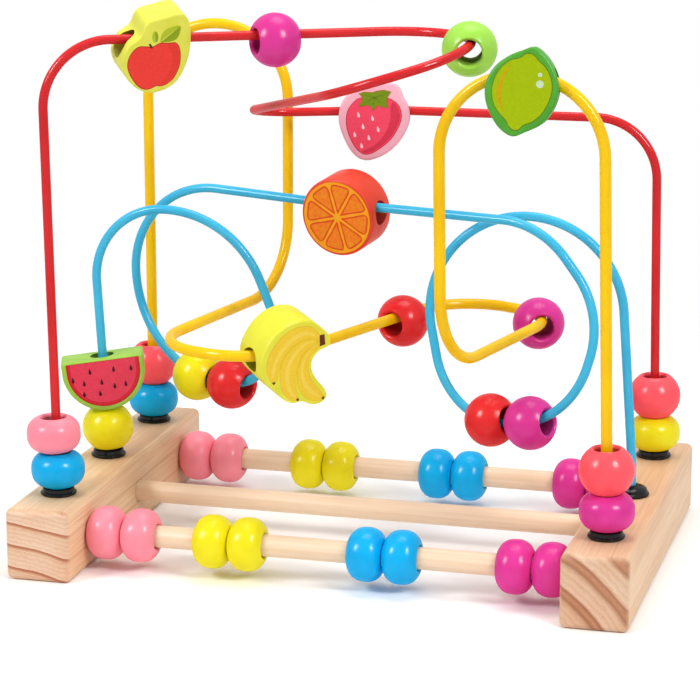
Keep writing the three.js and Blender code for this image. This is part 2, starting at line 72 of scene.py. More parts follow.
Socket = bpy.types.NodeSocket
Values = dict[str | int, object]  # of a shader node, by input or property
Stop = tuple[float, str]  # a place on a colour ramp and its colour
Point2 = tuple[float, float]
Outline = list[Point2]
Corner = tuple[float, float, float, float]  # of a wire: x, y, z and bend radius


class Labelled(Enum):
    """Members that node names mention."""

    @property
    def label(self) -> str:
        """Returns: the word that node names use."""
        return self.name.lower()


class Side(Labelled):
    """Which foot of the toy."""

    LEFT = -1
    RIGHT = 1


class Row(Labelled):
    """Sockets and rods from front to rear, with their place as a share of the row spacing."""

    FRONT = -1
    MIDDLE = 0
    REAR = 1


# Materials


def linear(colour: str) -> tuple[float, float, float, float]:
    """Turns an sRGB hex colour into linear light.

    Args:
        colour: such as "#E6C49C".

    Returns: red, green, blue and an alpha of 1.
    """
    shares = [int(colour[i:i + 2], 16) / 255 for i in (1, 3, 5)]
    light = [s / 12.92 if s <= 0.04045 else ((s + 0.055) / 1.055) ** 2.4 for s in shares]
    return (light[0], light[1], light[2], 1.0)


def fill(node: bpy.types.Node, values: Values) -> None:
    """Sets up a shader node.

    Args:
        node: the node.
        values: by input name, input number or property name. A socket is linked, and "stops" fill a ramp.
    """
    for key, value in values.items():
        if key == "stops":
            ramp = node.color_ramp
            while len(ramp.elements) < len(value):
                ramp.elements.new(1.0)
            for element, (position, colour) in zip(ramp.elements, value):
                element.position = position
                element.color = linear(colour)
        elif isinstance(value, Socket):
            node.id_data.links.new(value, node.inputs[key])
        elif isinstance(key, int) or key in node.inputs:
            node.inputs[key].default_value = value
        else:
            setattr(node, key, value)


def add_node(tree: bpy.types.NodeTree, kind: str, output: str | int, values: Values) -> Socket:
    """Adds one shader node.

    Args:
        tree: the material's or world's nodes.
        kind: the node's type name.
        output: the name or number of the output that is wanted.
        values: its settings and links.

    Returns: that output.
    """
    node = tree.nodes.new(kind)
    fill(node, values)
    return node.outputs[output]


def darker(colour: str, share: float) -> str:
    """Dims a colour.

    Args:
        colour: an sRGB hex colour.
        share: how much of each channel is left.

    Returns: the dimmer hex colour.
    """
    return "#" + "".join(f"{round(int(colour[i:i + 2], 16) * share):02X}" for i in (1, 3, 5))


def per_metre(feature: float) -> float:
    """Returns: the texture scale that gives features of about this size in millimetres."""
    return 1 / (feature * MM)


def clear_skin(share: float) -> Values:
    """Returns: the inputs of a paint that shines only by a clear skin over this share of it."""
    return {"Specular IOR Level": 0.0, "Coat Weight": share}


class Finish(Protocol):
    """Anything that can dress a piece."""

    name: str

    def shade(self, tree: bpy.types.NodeTree, place: Socket) -> Values:
        """Adds the textures at the object's coordinates, and returns the shader's inputs."""


def material_of(finish: Finish) -> bpy.types.Material:
    """Finds a finish's material, or makes it at its first use.

    Args:
        finish: the finish.

    Returns: the material, named for the finish.
    """
    known = bpy.data.materials.get(finish.name)
    if known:
        return known
    material = bpy.data.materials.new(finish.name)
    material.use_nodes = True
    tree = material.node_tree
    place = add_node(tree, "ShaderNodeTexCoord", "Object", {})
    fill(tree.nodes["Principled BSDF"], finish.shade(tree, place))
    return material


@dataclass(frozen=True)
class Lacquer:
    """Sprayed lacquer on turned or sawn wood: an even colour, a clear skin and a slight orange peel."""

    name: str
    colour: str
    deep: str
    roughness: float = 0.22
    smoother: float = 0.05  # how far the roughness drifts down
    duller: float = 0.07  # and up
    shine: float = 0.42
    mottle: float = 9.0
    peel: float = 1.6

    def in_bore(self) -> "Lacquer":
        """Returns: the thin, dull coat that reaches into the bore, its colours darkened as painted shade."""
        name = f"{self.name}, thin in the bore"
        # Painted shade: the bore's colours are dimmed to stand for the shade inside it
        dim = 0.8
        return Lacquer(name, darker(self.colour, dim), darker(self.deep, dim), roughness=0.6, shine=0.1)

    def shade(self, tree: bpy.types.NodeTree, place: Socket) -> Values:
        """Adds the textures.

        Args:
            tree: the material's nodes.
            place: the object's coordinates.

        Returns: the shader's inputs.
        """
        # Slow drift between two close tones, as a sprayed coat has
        drift = add_node(tree, "ShaderNodeTexNoise", "Fac",
                         {"Scale": per_metre(self.mottle), "Detail": 2.0, "Vector": place})
        tone = add_node(tree, "ShaderNodeValToRGB", "Color",
                        {"stops": [(0.35, self.colour), (0.8, self.deep)], "Fac": drift})
        low, high = self.roughness - self.smoother, self.roughness + self.duller
        rough = add_node(tree, "ShaderNodeMapRange", "Result",
                         {"To Min": low, "To Max": high, "Value": drift})
        # Orange peel that keeps the highlights from being mirror sharp
        peel = add_node(tree, "ShaderNodeTexNoise", "Fac",
                        {"Scale": per_metre(self.peel), "Detail": 3.0, "Vector": place})
        bump = add_node(tree, "ShaderNodeBump", "Normal",
                        {"Strength": 0.06, "Distance": 0.12 * MM, "Height": peel})
        return {**clear_skin(self.shine), "Base Color": tone, "Coat Roughness": rough, "Coat Normal": bump}


@dataclass(frozen=True)
class PrintInk:
    """Screen-printed ink: a flat colour in two close tones, mixed by a faint dry grain."""

    name: str
    colour: str
    deep: str
    turn: float = 0.5  # value of the grain where the two tones meet
    turn_reach: Point2 = (0.16, 0.2)  # how far below and above it they mix
    speck: float = 1.2
    roughness: float = 0.34
    shine: float = 0.15

    def shade(self, tree: bpy.types.NodeTree, place: Socket) -> Values:
        """Adds the textures.

        Args:
            tree: the material's nodes.
            place: the object's coordinates.

        Returns: the shader's inputs.
        """
        # Dry grain of the ink on the painted wood, drawn coarser than real so that it shows
        grain = add_node(tree, "ShaderNodeTexNoise", "Fac",
                         {"Scale": per_metre(self.speck), "Detail": 4.0, "Roughness": 0.6, "Vector": place})
        low, high = self.turn - self.turn_reach[0], self.turn + self.turn_reach[1]
        tone = add_node(tree, "ShaderNodeValToRGB", "Color",
                        {"stops": [(low, self.colour), (high, self.deep)], "Fac": grain})
        return {"Base Color": tone, "Roughness": self.roughness, "Specular IOR Level": self.shine}


@dataclass(frozen=True)
class WirePaint:
    """Powder coat on steel wire: saturated, glossy, with a fine pebble."""

    name: str
    colour: str
    deep: str
    flow: float = 26
    pebble: float = 0.7
    roughness: float = 0.14
    shine: float = 0.42

    def shade(self, tree: bpy.types.NodeTree, place: Socket) -> Values:
        """Adds the textures.

        Args:
            tree: the material's nodes.
            place: the object's coordinates.

        Returns: the shader's inputs.
        """
        # Bands a few centimetres long where the coat is thicker and so deeper
        flow = add_node(tree, "ShaderNodeTexNoise", "Fac",
                        {"Scale": per_metre(self.flow), "Detail": 2.0, "Vector": place})
        tone = add_node(tree, "ShaderNodeValToRGB", "Color",
                        {"stops": [(0.4, self.colour), (0.75, self.deep)], "Fac": flow})
        # Pebble of the powder, which softens the long highlight; drawn coarser than real so that it shows
        pebble = add_node(tree, "ShaderNodeTexNoise", "Fac",
                          {"Scale": per_metre(self.pebble), "Detail": 2.0, "Vector": place})
        bump = add_node(tree, "ShaderNodeBump", "Normal",
                        {"Strength": 0.03, "Distance": 0.06 * MM, "Height": pebble})
        skin = {**clear_skin(self.shine), "Coat Roughness": self.roughness, "Coat Normal": bump}
        return {**skin, "Base Color": tone}


@dataclass(frozen=True)
class Pine:
    """Sanded pine with growth rings that show on its sawn ends and only faintly along its sides."""

    name: str
    growth: tuple[Stop, ...]
    plain: str
    ring: float
    heart: tuple[float, float, float]
    side_share: float  # of the ring colour on the long sides
    wobble: float = 0.8
    years: float = 5  # fine rings in each main one
    year_wobble: float = 4.8
    ring_stretch: float = 0.16
    end: float = 95
    end_reach: Point2 = (3.5, 0.6)  # how far before the end its look starts and is full
    fibre: float = 1.1
    fibre_stretch: float = 0.025
    drift: float = 26
    roughness: float = 0.5

    def shade(self, tree: bpy.types.NodeTree, place: Socket) -> Values:
        """Adds the textures.

        Args:
            tree: the material's nodes.
            place: the object's coordinates.

        Returns: the shader's inputs.
        """
        # Rings round the tree's heart, which lies along Y beside the block; Y is squeezed so they run long
        heart = [-value * MM for value in self.heart]
        trunk = add_node(tree, "ShaderNodeMapping", "Vector",
                         {"Location": heart, "Scale": (1, self.ring_stretch, 1), "Vector": place})
        period = math.tau / 20  # of the wave texture at a scale of 1, in metres
        rounds = {"wave_type": "RINGS", "rings_direction": "Y", "wave_profile": "SAW", "Vector": trunk}
        rings = add_node(tree, "ShaderNodeTexWave", "Fac",
                         {**rounds, "Scale": period / (self.ring * MM), "Distortion": self.wobble,
                          "Detail": 3.0, "Detail Scale": 1.3, "Detail Roughness": 0.55})
        growth = add_node(tree, "ShaderNodeValToRGB", "Color", {"stops": self.growth, "Fac": rings})
        # Fine rings between the main ones, drawn out of true by the saw
        years = add_node(tree, "ShaderNodeTexWave", "Fac",
                         {**rounds, "Scale": period / (self.ring / self.years * MM),
                          "Distortion": self.year_wobble, "Detail": 4.0, "Detail Scale": 2.0,
                          "Detail Roughness": 0.75})
        season = add_node(tree, "ShaderNodeValToRGB", "Color",
                          {"stops": [(0.3, "#FFFFFF"), (0.9, "#F8EAE1")], "Fac": years})
        over = {"data_type": "RGBA", "blend_type": "MULTIPLY"}
        sawn = add_node(tree, "ShaderNodeMix", 2, {**over, 0: 1.0, 6: growth, 7: season})
        # The sawn ends take the full ring colour, the long sides a share of it
        depth = add_node(tree, "ShaderNodeSeparateXYZ", "Y", {"Vector": place})
        along = add_node(tree, "ShaderNodeMath", "Value", {"operation": "ABSOLUTE", 0: depth})
        start, full = (self.end - inset for inset in self.end_reach)
        edge = {"From Min": start * MM, "From Max": full * MM, "Value": along}
        ends = add_node(tree, "ShaderNodeMapRange", "Result",
                        {**edge, "To Min": self.side_share, "To Max": 1.0})
        ringed = add_node(tree, "ShaderNodeMix", 2,
                          {"data_type": "RGBA", 0: ends, 6: linear(self.plain), 7: sawn})
        # Fibres: hair-fine streaks along the block, which are short pores on the ends
        streak = add_node(tree, "ShaderNodeMapping", "Vector",
                          {"Scale": (1, self.fibre_stretch, 1), "Vector": place})
        fibre = add_node(tree, "ShaderNodeTexNoise", "Fac",
                         {"Scale": per_metre(self.fibre), "Detail": 5.0, "Roughness": 0.6, "Vector": streak})
        hair = add_node(tree, "ShaderNodeValToRGB", "Color",
                        {"stops": [(0.3, "#EBDCCB"), (0.6, "#FFFFFF")], "Fac": fibre})
        shown = add_node(tree, "ShaderNodeMapRange", "Result", {**edge, "To Min": 0.85, "To Max": 0.3})
        wood = add_node(tree, "ShaderNodeMix", 2, {**over, 0: shown, 6: ringed, 7: hair})
        bump = add_node(tree, "ShaderNodeBump", "Normal",
                        {"Strength": 0.1, "Distance": 0.1 * MM, "Height": fibre})
        # Broad drift from honey to rose over the faces
        drift = add_node(tree, "ShaderNodeTexNoise", "Fac",
                         {"Scale": per_metre(self.drift), "Detail": 2.0, "Vector": trunk})
        warm = add_node(tree, "ShaderNodeValToRGB", "Color",
                        {"stops": [(0.35, "#FFFFFF"), (0.75, "#F9E6DA")], "Fac": drift})
        tinted = add_node(tree, "ShaderNodeMix", 2, {**over, 0: 1.0, 6: wood, 7: warm})
        return {"Base Color": tinted, "Roughness": self.roughness, "Normal": bump}


@dataclass(frozen=True)
class Dowel:
    """Planed pale dowel: straight fine streaks along its length."""

    name: str
    pale: str
    dark: str
    fibre: float = 1.6
    fibre_stretch: float = 0.02
    roughness: float = 0.48

    def shade(self, tree: bpy.types.NodeTree, place: Socket) -> Values:
        """Adds the textures.

        Args:
            tree: the material's nodes.
            place: the object's coordinates.

        Returns: the shader's inputs.
        """
        # Streaks along X, fine across the grain
        streak = add_node(tree, "ShaderNodeMapping", "Vector",
                          {"Scale": (self.fibre_stretch, 1, 1), "Vector": place})
        fibre = add_node(tree, "ShaderNodeTexNoise", "Fac",
                         {"Scale": per_metre(self.fibre), "Detail": 5.0, "Roughness": 0.6, "Vector": streak})
        tone = add_node(tree, "ShaderNodeValToRGB", "Color",
                        {"stops": [(0.36, self.pale), (0.72, self.dark)], "Fac": fibre})
        bump = add_node(tree, "ShaderNodeBump", "Normal",
                        {"Strength": 0.1, "Distance": 0.08 * MM, "Height": fibre})
        return {"Base Color": tone, "Roughness": self.roughness, "Normal": bump}


@dataclass(frozen=True)
class BlackPlastic:
    """Moulded black plastic: near black, glossy, with faint scuffs that break its highlight."""

    name: str
    colour: str
    worn: str
    scuff: float = 2.2
    roughness: Point2 = (0.06, 0.2)
    shine: float = 0.5

    def shade(self, tree: bpy.types.NodeTree, place: Socket) -> Values:
        """Adds the textures.

        Args:
            tree: the material's nodes.
            place: the object's coordinates.

        Returns: the shader's inputs.
        """
        # Scuffs a millimetre or two long, a little lighter and rougher than the moulded skin
        scuff = add_node(tree, "ShaderNodeTexNoise", "Fac",
                         {"Scale": per_metre(self.scuff), "Detail": 4.0, "Vector": place})
        tone = add_node(tree, "ShaderNodeValToRGB", "Color",
                        {"stops": [(0.45, self.colour), (0.8, self.worn)], "Fac": scuff})
        low, high = self.roughness
        rough = add_node(tree, "ShaderNodeMapRange", "Result",
                         {"To Min": low, "To Max": high, "Value": scuff})
        return {**clear_skin(self.shine), "Base Color": tone, "Coat Roughness": rough}


LACQUERS = {
    "pink": Lacquer("pink gloss lacquer", "#FB92A2", "#F68698"),
    "yellow": Lacquer("yellow gloss lacquer", "#EFE318", "#E7D80C"),
    "blue": Lacquer("blue gloss lacquer", "#00AEEA", "#00A0DE"),
    "magenta": Lacquer("magenta gloss lacquer", "#DC3896", "#D22C8A"),
    "coral": Lacquer("coral gloss lacquer", "#FF5A64", "#FA4C58"),
    "green": Lacquer("pale green gloss lacquer", "#A4DE54", "#98D446"),
    "red": Lacquer("red gloss lacquer", "#E62A2C", "#DC2022"),
}
PAINTS = {
    "red": WirePaint("red powder coat", "#D8262A", "#CE1E22"),
    "yellow": WirePaint("yellow powder coat", "#FACA04", "#F4BE00"),
    "blue": WirePaint("sky blue powder coat", "#42BAE2", "#36AEDA"),
}
LEFT_PINE = Pine(
    "pine, flat growth lines",
    ((0.0, "#E4C6AC"), (0.8, "#DDBA9C"), (0.92, "#B8744E"), (1.0, "#AE6A46")),
    plain="#F3D9B0", ring=10.2, heart=(-154, 0, -166), side_share=0.34,
)
RIGHT_PINE = Pine(
    "pine, curved growth rings",
    ((0.0, "#DCBEA4"), (0.54, "#D4B294"), (0.66, "#A26E4A"), (0.78, "#BE8A66"), (0.91, "#A06A48"),
     (0.97, "#D8B698")),
    plain="#EACAA6", ring=14, heart=(78, 0, -39), side_share=0.14,
)
ROD_WOOD = Dowel("planed dowel", "#EED3B6", "#E4C3A0")
FERRULE_PLASTIC = BlackPlastic("black moulded plastic", "#101010", "#1C1C1C")


# Modelling


def select_only(obj: bpy.types.Object) -> None:
    """Makes one object the only selected one and the active one.

    Args:
        obj: the object.
    """
    bpy.ops.object.select_all(action="DESELECT")
    obj.select_set(True)
    bpy.context.view_layer.objects.active = obj


def smooth(obj: bpy.types.Object) -> None:
    """Shades an object's round faces smooth and keeps its real edges.

    Args:
        obj: the object.
    """
    select_only(obj)
    bpy.ops.object.shade_smooth_by_angle(angle=SMOOTH_ANGLE)


@contextmanager
def edited(obj: bpy.types.Object) -> Iterator[None]:
    """Holds an object open in edit mode, at first with all of it selected.

    Args:
        obj: the object.

    Yields: nothing, while it is open.
    """
    select_only(obj)
    bpy.ops.object.mode_set(mode="EDIT")
    bpy.ops.mesh.select_all(action="SELECT")
    yield
    bpy.ops.object.mode_set(mode="OBJECT")


def round_edges(width: float, segments: int) -> None:
    """Rounds off the sharp edges of the mesh that is open.

    Args:
        width: of the rounding.
        segments: how many strips it has.
    """
    bpy.ops.mesh.select_mode(type="EDGE")
    bpy.ops.mesh.select_all(action="DESELECT")
    bpy.ops.mesh.edges_select_sharp(sharpness=SHARP_ANGLE)
    bpy.ops.mesh.bevel(offset=width * MM, segments=segments, affect="EDGES")


def loop(name: str, points: Sequence[Vector], filled: bool) -> bpy.types.Object:
    """Adds a closed loop of edges.

    Args:
        name: the object's name.
        points: its corners, in order.
        filled: whether it has a face.

    Returns: the mesh object.
    """
    bpy.ops.object.select_all(action="DESELECT")
    bpy.ops.mesh.primitive_circle_add(vertices=len(points), fill_type="NGON" if filled else "NOTHING")
    obj = bpy.context.object
    obj.name = name
    for vertex, point in zip(obj.data.vertices, points):
        vertex.co = point * MM
    return obj


def spun(name: str, section: Sequence[Point2]) -> bpy.types.Object:
    """Spins a closed section about Z.

    Args:
        name: the object's name.
        section: distance from the axis and height of each corner, in order.

    Returns: the closed mesh object.
    """
    obj = loop(name, [Vector((distance, 0, height)) for distance, height in section], filled=False)
    with edited(obj):
        bpy.ops.mesh.spin(steps=TURN_STEPS, angle=math.tau, center=(0, 0, 0), axis=(0, 0, 1))
        bpy.ops.mesh.select_all(action="SELECT")
        bpy.ops.mesh.remove_doubles(threshold=WELD)
        bpy.ops.mesh.normals_make_consistent(inside=False)
    smooth(obj)
    return obj


def plate(name: str, outline: Outline, front: float, back: float, rim: float = 0) -> bpy.types.Object:
    """Extrudes an upright outline along Y.

    Args:
        name: the object's name.
        outline: right and up of each point.
        front: Y of the front face.
        back: Y of the back face.
        rim: rounding of both faces' edges, or 0.

    Returns: the closed mesh object.
    """
    obj = loop(name, [Vector((right, front, up)) for right, up in outline], filled=True)
    with edited(obj):
        bpy.ops.mesh.extrude_region_move(TRANSFORM_OT_translate={"value": (0, (back - front) * MM, 0)})
        bpy.ops.mesh.select_all(action="SELECT")
        bpy.ops.mesh.normals_make_consistent(inside=False)
        if rim:
            round_edges(rim, segments=4)
    return obj


def cylinder(radius: float, length: float, axis: str, middle: Vector) -> bpy.types.Object:
    """Adds a plain cylinder.

    Args:
        radius: its radius.
        length: its length.
        axis: "X" or "Z".
        middle: its middle.

    Returns: the object, with its place in the mesh.
    """
    bpy.ops.object.select_all(action="DESELECT")
    turn = (0, math.pi / 2, 0) if axis == "X" else (0, 0, 0)
    bpy.ops.mesh.primitive_cylinder_add(vertices=CYLINDER_STEPS, radius=radius * MM, depth=length * MM,
                                        location=middle * MM, rotation=turn)
    bpy.ops.object.transform_apply(location=True, rotation=True, scale=True)
    return bpy.context.object


def cut(obj: bpy.types.Object, tool: bpy.types.Object) -> None:
    """Cuts a tool's shape out of an object and removes the tool.

    Args:
        obj: what is cut.
        tool: the closed cutting shape.
    """
    select_only(obj)
    modifier = obj.modifiers.new("bore", "BOOLEAN")
    modifier.operation = "DIFFERENCE"
    modifier.solver = "EXACT"
    modifier.object = tool
    bpy.ops.object.modifier_apply(modifier=modifier.name)
    bpy.data.objects.remove(tool, do_unlink=True)


def mark_bore(obj: bpy.types.Object, axis: Vector, radius: float) -> None:
    """Gives the faces of a straight bore through the origin the second material, the one darkened as painted
    shade.

    Args:
        obj: the bored shape, before it is placed.
        axis: the bore's direction.
        radius: the bore's radius.
    """
    tolerance = 0.05
    limit = (radius + tolerance) * MM
    near = [(vertex.co - axis * vertex.co.dot(axis)).length < limit for vertex in obj.data.vertices]
    for face in obj.data.polygons:
        face.material_index = int(all(near[index] for index in face.vertices))


def copied(master: bpy.types.Object, name: str, place: Matrix) -> bpy.types.Object:
    """Copies a modelled shape with a mesh of its own.

    Args:
        master: the shape at the origin.
        name: the copy's name.
        place: where it goes, in metres.

    Returns: the copy, with its place in the mesh.
    """
    obj = master.copy()
    obj.data = master.data.copy()
    obj.name = name
    obj.data.name = name
    bpy.context.scene.collection.objects.link(obj)
    obj.data.transform(place)
    return obj


def joined(name: str, parts: Sequence[bpy.types.Object]) -> bpy.types.Object:
    """Joins separate shells of one piece.

    Args:
        name: the piece's name.
        parts: its shells.

    Returns: the one object.
    """
    select_only(parts[0])
    for part in parts:
        part.select_set(True)
    if len(parts) > 1:
        bpy.ops.object.join()
    parts[0].name = name
    return parts[0]


class Catalogue:
    """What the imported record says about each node, and the dressing of the pieces that stand for them."""

    def __init__(self) -> None:
        """Reads the record, and finds the middle between the two feet."""
        record = frame["record"]
        self.slots = {part["node"]: part["material_slot"] for part in record["subparts"]}
        self.bodies = {node: body for body, nodes in record["behaviour"]["bodies"].items() for node in nodes}
        feet = [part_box(f"{side.label}_base_block") for side in Side]
        middle = sum(low.x + high.x for low, high in feet) / 4
        self.shift = Matrix.Translation((middle, 0, 0))

    def put(self, point: Vector, turn: Matrix = STRAIGHT) -> Matrix:
        """Finds where a shape goes.

        Args:
            point: in millimetres.
            turn: its rotation.

        Returns: the place in metres.
        """
        return self.shift @ (Matrix.Translation(point * MM) @ turn.to_4x4())

    def adopt(self, obj: bpy.types.Object, node: str, *finishes: Finish) -> None:
        """Lets a piece stand for a node: it takes the node's body, and hides it.

        Args:
            obj: the fine piece, in place.
            node: the CAD node.
            finishes: what its faces are dressed in, by their material number.
        """
        self.dress(obj, node, *finishes)
        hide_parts(node)

    def dress(self, obj: bpy.types.Object, node: str, *finishes: Finish) -> None:
        """Paints a piece and lets it ride with a node's body.

        Args:
            obj: the piece, in place.
            node: the CAD node that it belongs to.
            finishes: what its faces are dressed in, by their material number.
        """
        numbers = [face.material_index for face in obj.data.polygons]
        obj.data.materials.clear()
        for finish in finishes:
            obj.data.materials.append(material_of(finish))
        obj.data.polygons.foreach_set("material_index", numbers)
        LOG.info("%s: %d faces, %s", obj.name, len(obj.data.polygons), finishes[0].name)
        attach(obj, self.bodies[node])


# Wires


@dataclass(frozen=True)
class Spot:
    """A place on a wire; on a bend it also has the way to the bend's middle and its radius."""

    point: Vector
    tangent: Vector
    inward: Vector | None = None
    radius: float = math.inf


@dataclass(frozen=True)
class At:
    """Where a slider sits: a share of the way along a numbered run or bend, and its turn in degrees."""

    share: float
    run: int | None = None
    bend: int | None = None
    yaw: float = 0


@dataclass(frozen=True)
class Run:
    """A straight stretch of wire."""

    start: Vector
    direction: Vector
    length: float


@dataclass(frozen=True)
class Bend:
    """A round bend of wire."""

    start: Vector
    end: Vector
    axis: Vector
    radius: float
    angle: float
    arm: Vector
    centre: Vector


class BentWire:
    """A wire path of straight runs and round bends: run i ends at bend i, and bend i starts run i + 1."""

    bend_step = math.radians(2.5)
    least_step = 0.05

    def __init__(self, corners: Sequence[Corner], radius: float) -> None:
        """Rounds a wire's corners.

        Args:
            corners: its start, bends and end, in order.
            radius: half its thickness.
        """
        self.radius = radius
        self.runs: list[Run] = []
        self.bends: list[Bend] = []
        points = [Vector(corner[:3]) for corner in corners]
        last = len(points) - 1
        start = points[0]
        for i in range(1, last):
            # Two bends share the edge between them
            reach = (1 if i == 1 else 0.5, 1 if i == last - 1 else 0.5)
            bend = self.rounded(points[i - 1], points[i], points[i + 1], corners[i][3], reach)
            self.add_run(start, bend.start)
            self.bends.append(bend)
            start = bend.end
        self.add_run(start, points[last])

    @staticmethod
    def rounded(before: Vector, corner: Vector, after: Vector, wanted: float, reach: Point2) -> Bend:
        """Finds the arc that rounds one corner.

        Args:
            before: the corner before it.
            corner: the corner.
            after: the corner after it.
            wanted: the bend radius, if there is room.
            reach: the share of either neighbouring edge that the arc may use.

        Returns: the bend.
        """
        into = corner - before
        out = after - corner
        limit = min(into.length * reach[0], out.length * reach[1])
        into = into.normalized()
        out = out.normalized()
        angle = into.angle(out)
        trim = min(wanted * math.tan(angle / 2), limit)
        axis = into.cross(out).normalized()
        radius = trim / math.tan(angle / 2) if angle > 0 else 0
        start = corner - into * trim
        arm = into.cross(axis) * radius
        return Bend(start, corner + out * trim, axis, radius, angle, arm, start - arm)

    def add_run(self, start: Vector, end: Vector) -> None:
        """Adds a straight stretch.

        Args:
            start: its start.
            end: its end.
        """
        way = end - start
        self.runs.append(Run(start, way.normalized(), way.length))

    def on_bend(self, index: int, share: float) -> Spot:
        """Finds a place on a bend.

        Args:
            index: the bend.
            share: of the way round it.

        Returns: the place.
        """
        bend = self.bends[index]
        arm = Quaternion(bend.axis, bend.angle * share) @ bend.arm
        return Spot(bend.centre + arm, bend.axis.cross(arm).normalized(), -arm.normalized(), bend.radius)

    def spot(self, at: At) -> Spot:
        """Finds a slider's place.

        Args:
            at: which run or bend, and how far along.

        Returns: the place.
        """
        if at.bend is not None:
            return self.on_bend(at.bend, at.share)
        run = self.runs[at.run]
        return Spot(run.start + run.direction * run.length * at.share, run.direction)

    def upright(self, side: Side, height: float) -> Spot:
        """Finds a place on the run above a socket.

        Args:
            side: the foot that the socket is in.
            height: above the floor.

        Returns: the place, with its tangent upwards.
        """
        run = self.runs[1] if side is Side.LEFT else self.runs[-2]
        way = run.direction if run.direction.z > 0 else -run.direction
        return Spot(run.start + way * ((height - run.start.z) / way.z), way)

    def stations(self) -> list[Vector]:
        """Returns: points along the whole wire, close together on the bends."""
        points = [self.runs[0].start]
        for index, bend in enumerate(self.bends):
            steps = max(1, math.ceil(bend.angle / self.bend_step))
            points += [self.on_bend(index, i / steps).point for i in range(steps + 1)]
        last = self.runs[-1]
        points.append(last.start + last.direction * last.length)
        kept = points[:1]
        for point in points[1:]:
            if (point - kept[-1]).length > self.least_step:
                kept.append(point)
        return kept


@dataclass(frozen=True)
class WirePlan:
    """The three wires' sizes and bend corners between their sockets, each as x, y, z and bend radius."""

    thin: float = 4.2
    thick: float = 5.0
    red_corners: tuple[Corner, ...] = (
        (-129, -66, 239, 30), (37, 16, 240, 33), (66, -46, 240, 33), (10, -73, 223, 33),
        (-78, 56, 191.5, 18), (0, 59.5, 195.5, 40), (123.5, 66, 195, 29),
    )
    yellow_corners: tuple[Corner, ...] = (
        (-126, 66, 233, 35), (-55, 66, 233, 35), (-55.5, 66, 106, 34), (-86, -55, 103, 30),
        (-27, -74, 103, 30), (27, 74, 103, 30), (82, 48, 103, 30), (52, -66, 101, 34),
        (50, -66, 233, 35), (121, -66, 231, 35),
    )
    blue_corners: tuple[Corner, ...] = (
        (-132, 0, 153, 34), (-62, -1, 155, 51), (-29, 1, 69.5, 35), (-120, 36, 66, 49),
        (-125.5, 34, 162, 43), (-32, 18, 158, 35), (86, -19, 160, 41), (116, -27, 123, 40.5),
        (103.5, -30, 76, 46), (42, -3, 58.5, 38), (22.5, 3, 152, 45), (117, 1, 165, 45),
    )


@dataclass
class Base:
    """Two pine feet joined by three dowels, with the sockets for the wires."""

    catalogue: Catalogue
    width: float = 30
    length: float = 190
    height: float = 33
    edge: float = 3
    spacing: float = 252
    row_spacing: float = 66
    rod_diameter: float = 10
    rod_height: float = 16.5
    rod_seat: float = 10
    rod_edge: float = 0.6
    stem_diameter: float = 8.6
    stem_depth: float = 6
    wire_seat: float = 9

    @property
    def socket_x(self) -> float:
        """Returns: how far a socket is from the middle."""
        return self.spacing / 2

    @property
    def inner_face(self) -> float:
        """Returns: how far a foot's inner face is from the middle."""
        return self.socket_x - self.width / 2

    def block(self, side: Side, wires: dict[Row, BentWire]) -> None:
        """Models a foot: a cube with rounded edges and its seats bored.

        Args:
            side: which foot.
            wires: the wire in each row's socket.
        """
        name = f"{side.label}_base_block"
        x = side.value * self.socket_x
        bpy.ops.object.select_all(action="DESELECT")
        bpy.ops.mesh.primitive_cube_add(size=1)
        obj = bpy.context.object
        obj.name = f"fine_{name}"
        size = (self.width * MM, self.length * MM, self.height * MM)
        with edited(obj):
            bpy.ops.transform.resize(value=size, center_override=(0, 0, 0))
            bpy.ops.transform.translate(value=(x * MM, 0, self.height / 2 * MM))
            bpy.ops.mesh.bevel(offset=self.edge * MM, segments=6, affect="EDGES")
        for row in Row:
            y = row.value * self.row_spacing
            face = Vector((side.value * self.inner_face, y, self.rod_height))
            top = Vector((x, y, self.height))
            cut(obj, cylinder(self.rod_diameter / 2 + GAP, 2 * self.rod_seat, "X", face))
            cut(obj, cylinder(self.stem_diameter / 2 + GAP, 2 * (self.stem_depth + GAP), "Z", top))
            cut(obj, cylinder(wires[row].radius + GAP, 2 * (self.wire_seat + GAP), "Z", top))
        smooth(obj)
        obj.data.transform(self.catalogue.shift)
        self.catalogue.adopt(obj, name, LEFT_PINE if side is Side.LEFT else RIGHT_PINE)

    def rods(self) -> None:
        """Models the three dowels from one shape."""
        length = 2 * (self.inner_face + self.rod_seat - GAP)
        master = cylinder(self.rod_diameter / 2, length, "X", Vector())
        with edited(master):
            round_edges(self.rod_edge, segments=2)
        smooth(master)
        names = {Row.FRONT: "front_rod", Row.MIDDLE: "centre_rod", Row.REAR: "rear_rod"}
        for row, name in names.items():
            point = Vector((0, row.value * self.row_spacing, self.rod_height))
            rod = copied(master, f"fine_{name}", self.catalogue.put(point))
            self.catalogue.adopt(rod, name, ROD_WOOD)
        bpy.data.objects.remove(master, do_unlink=True)


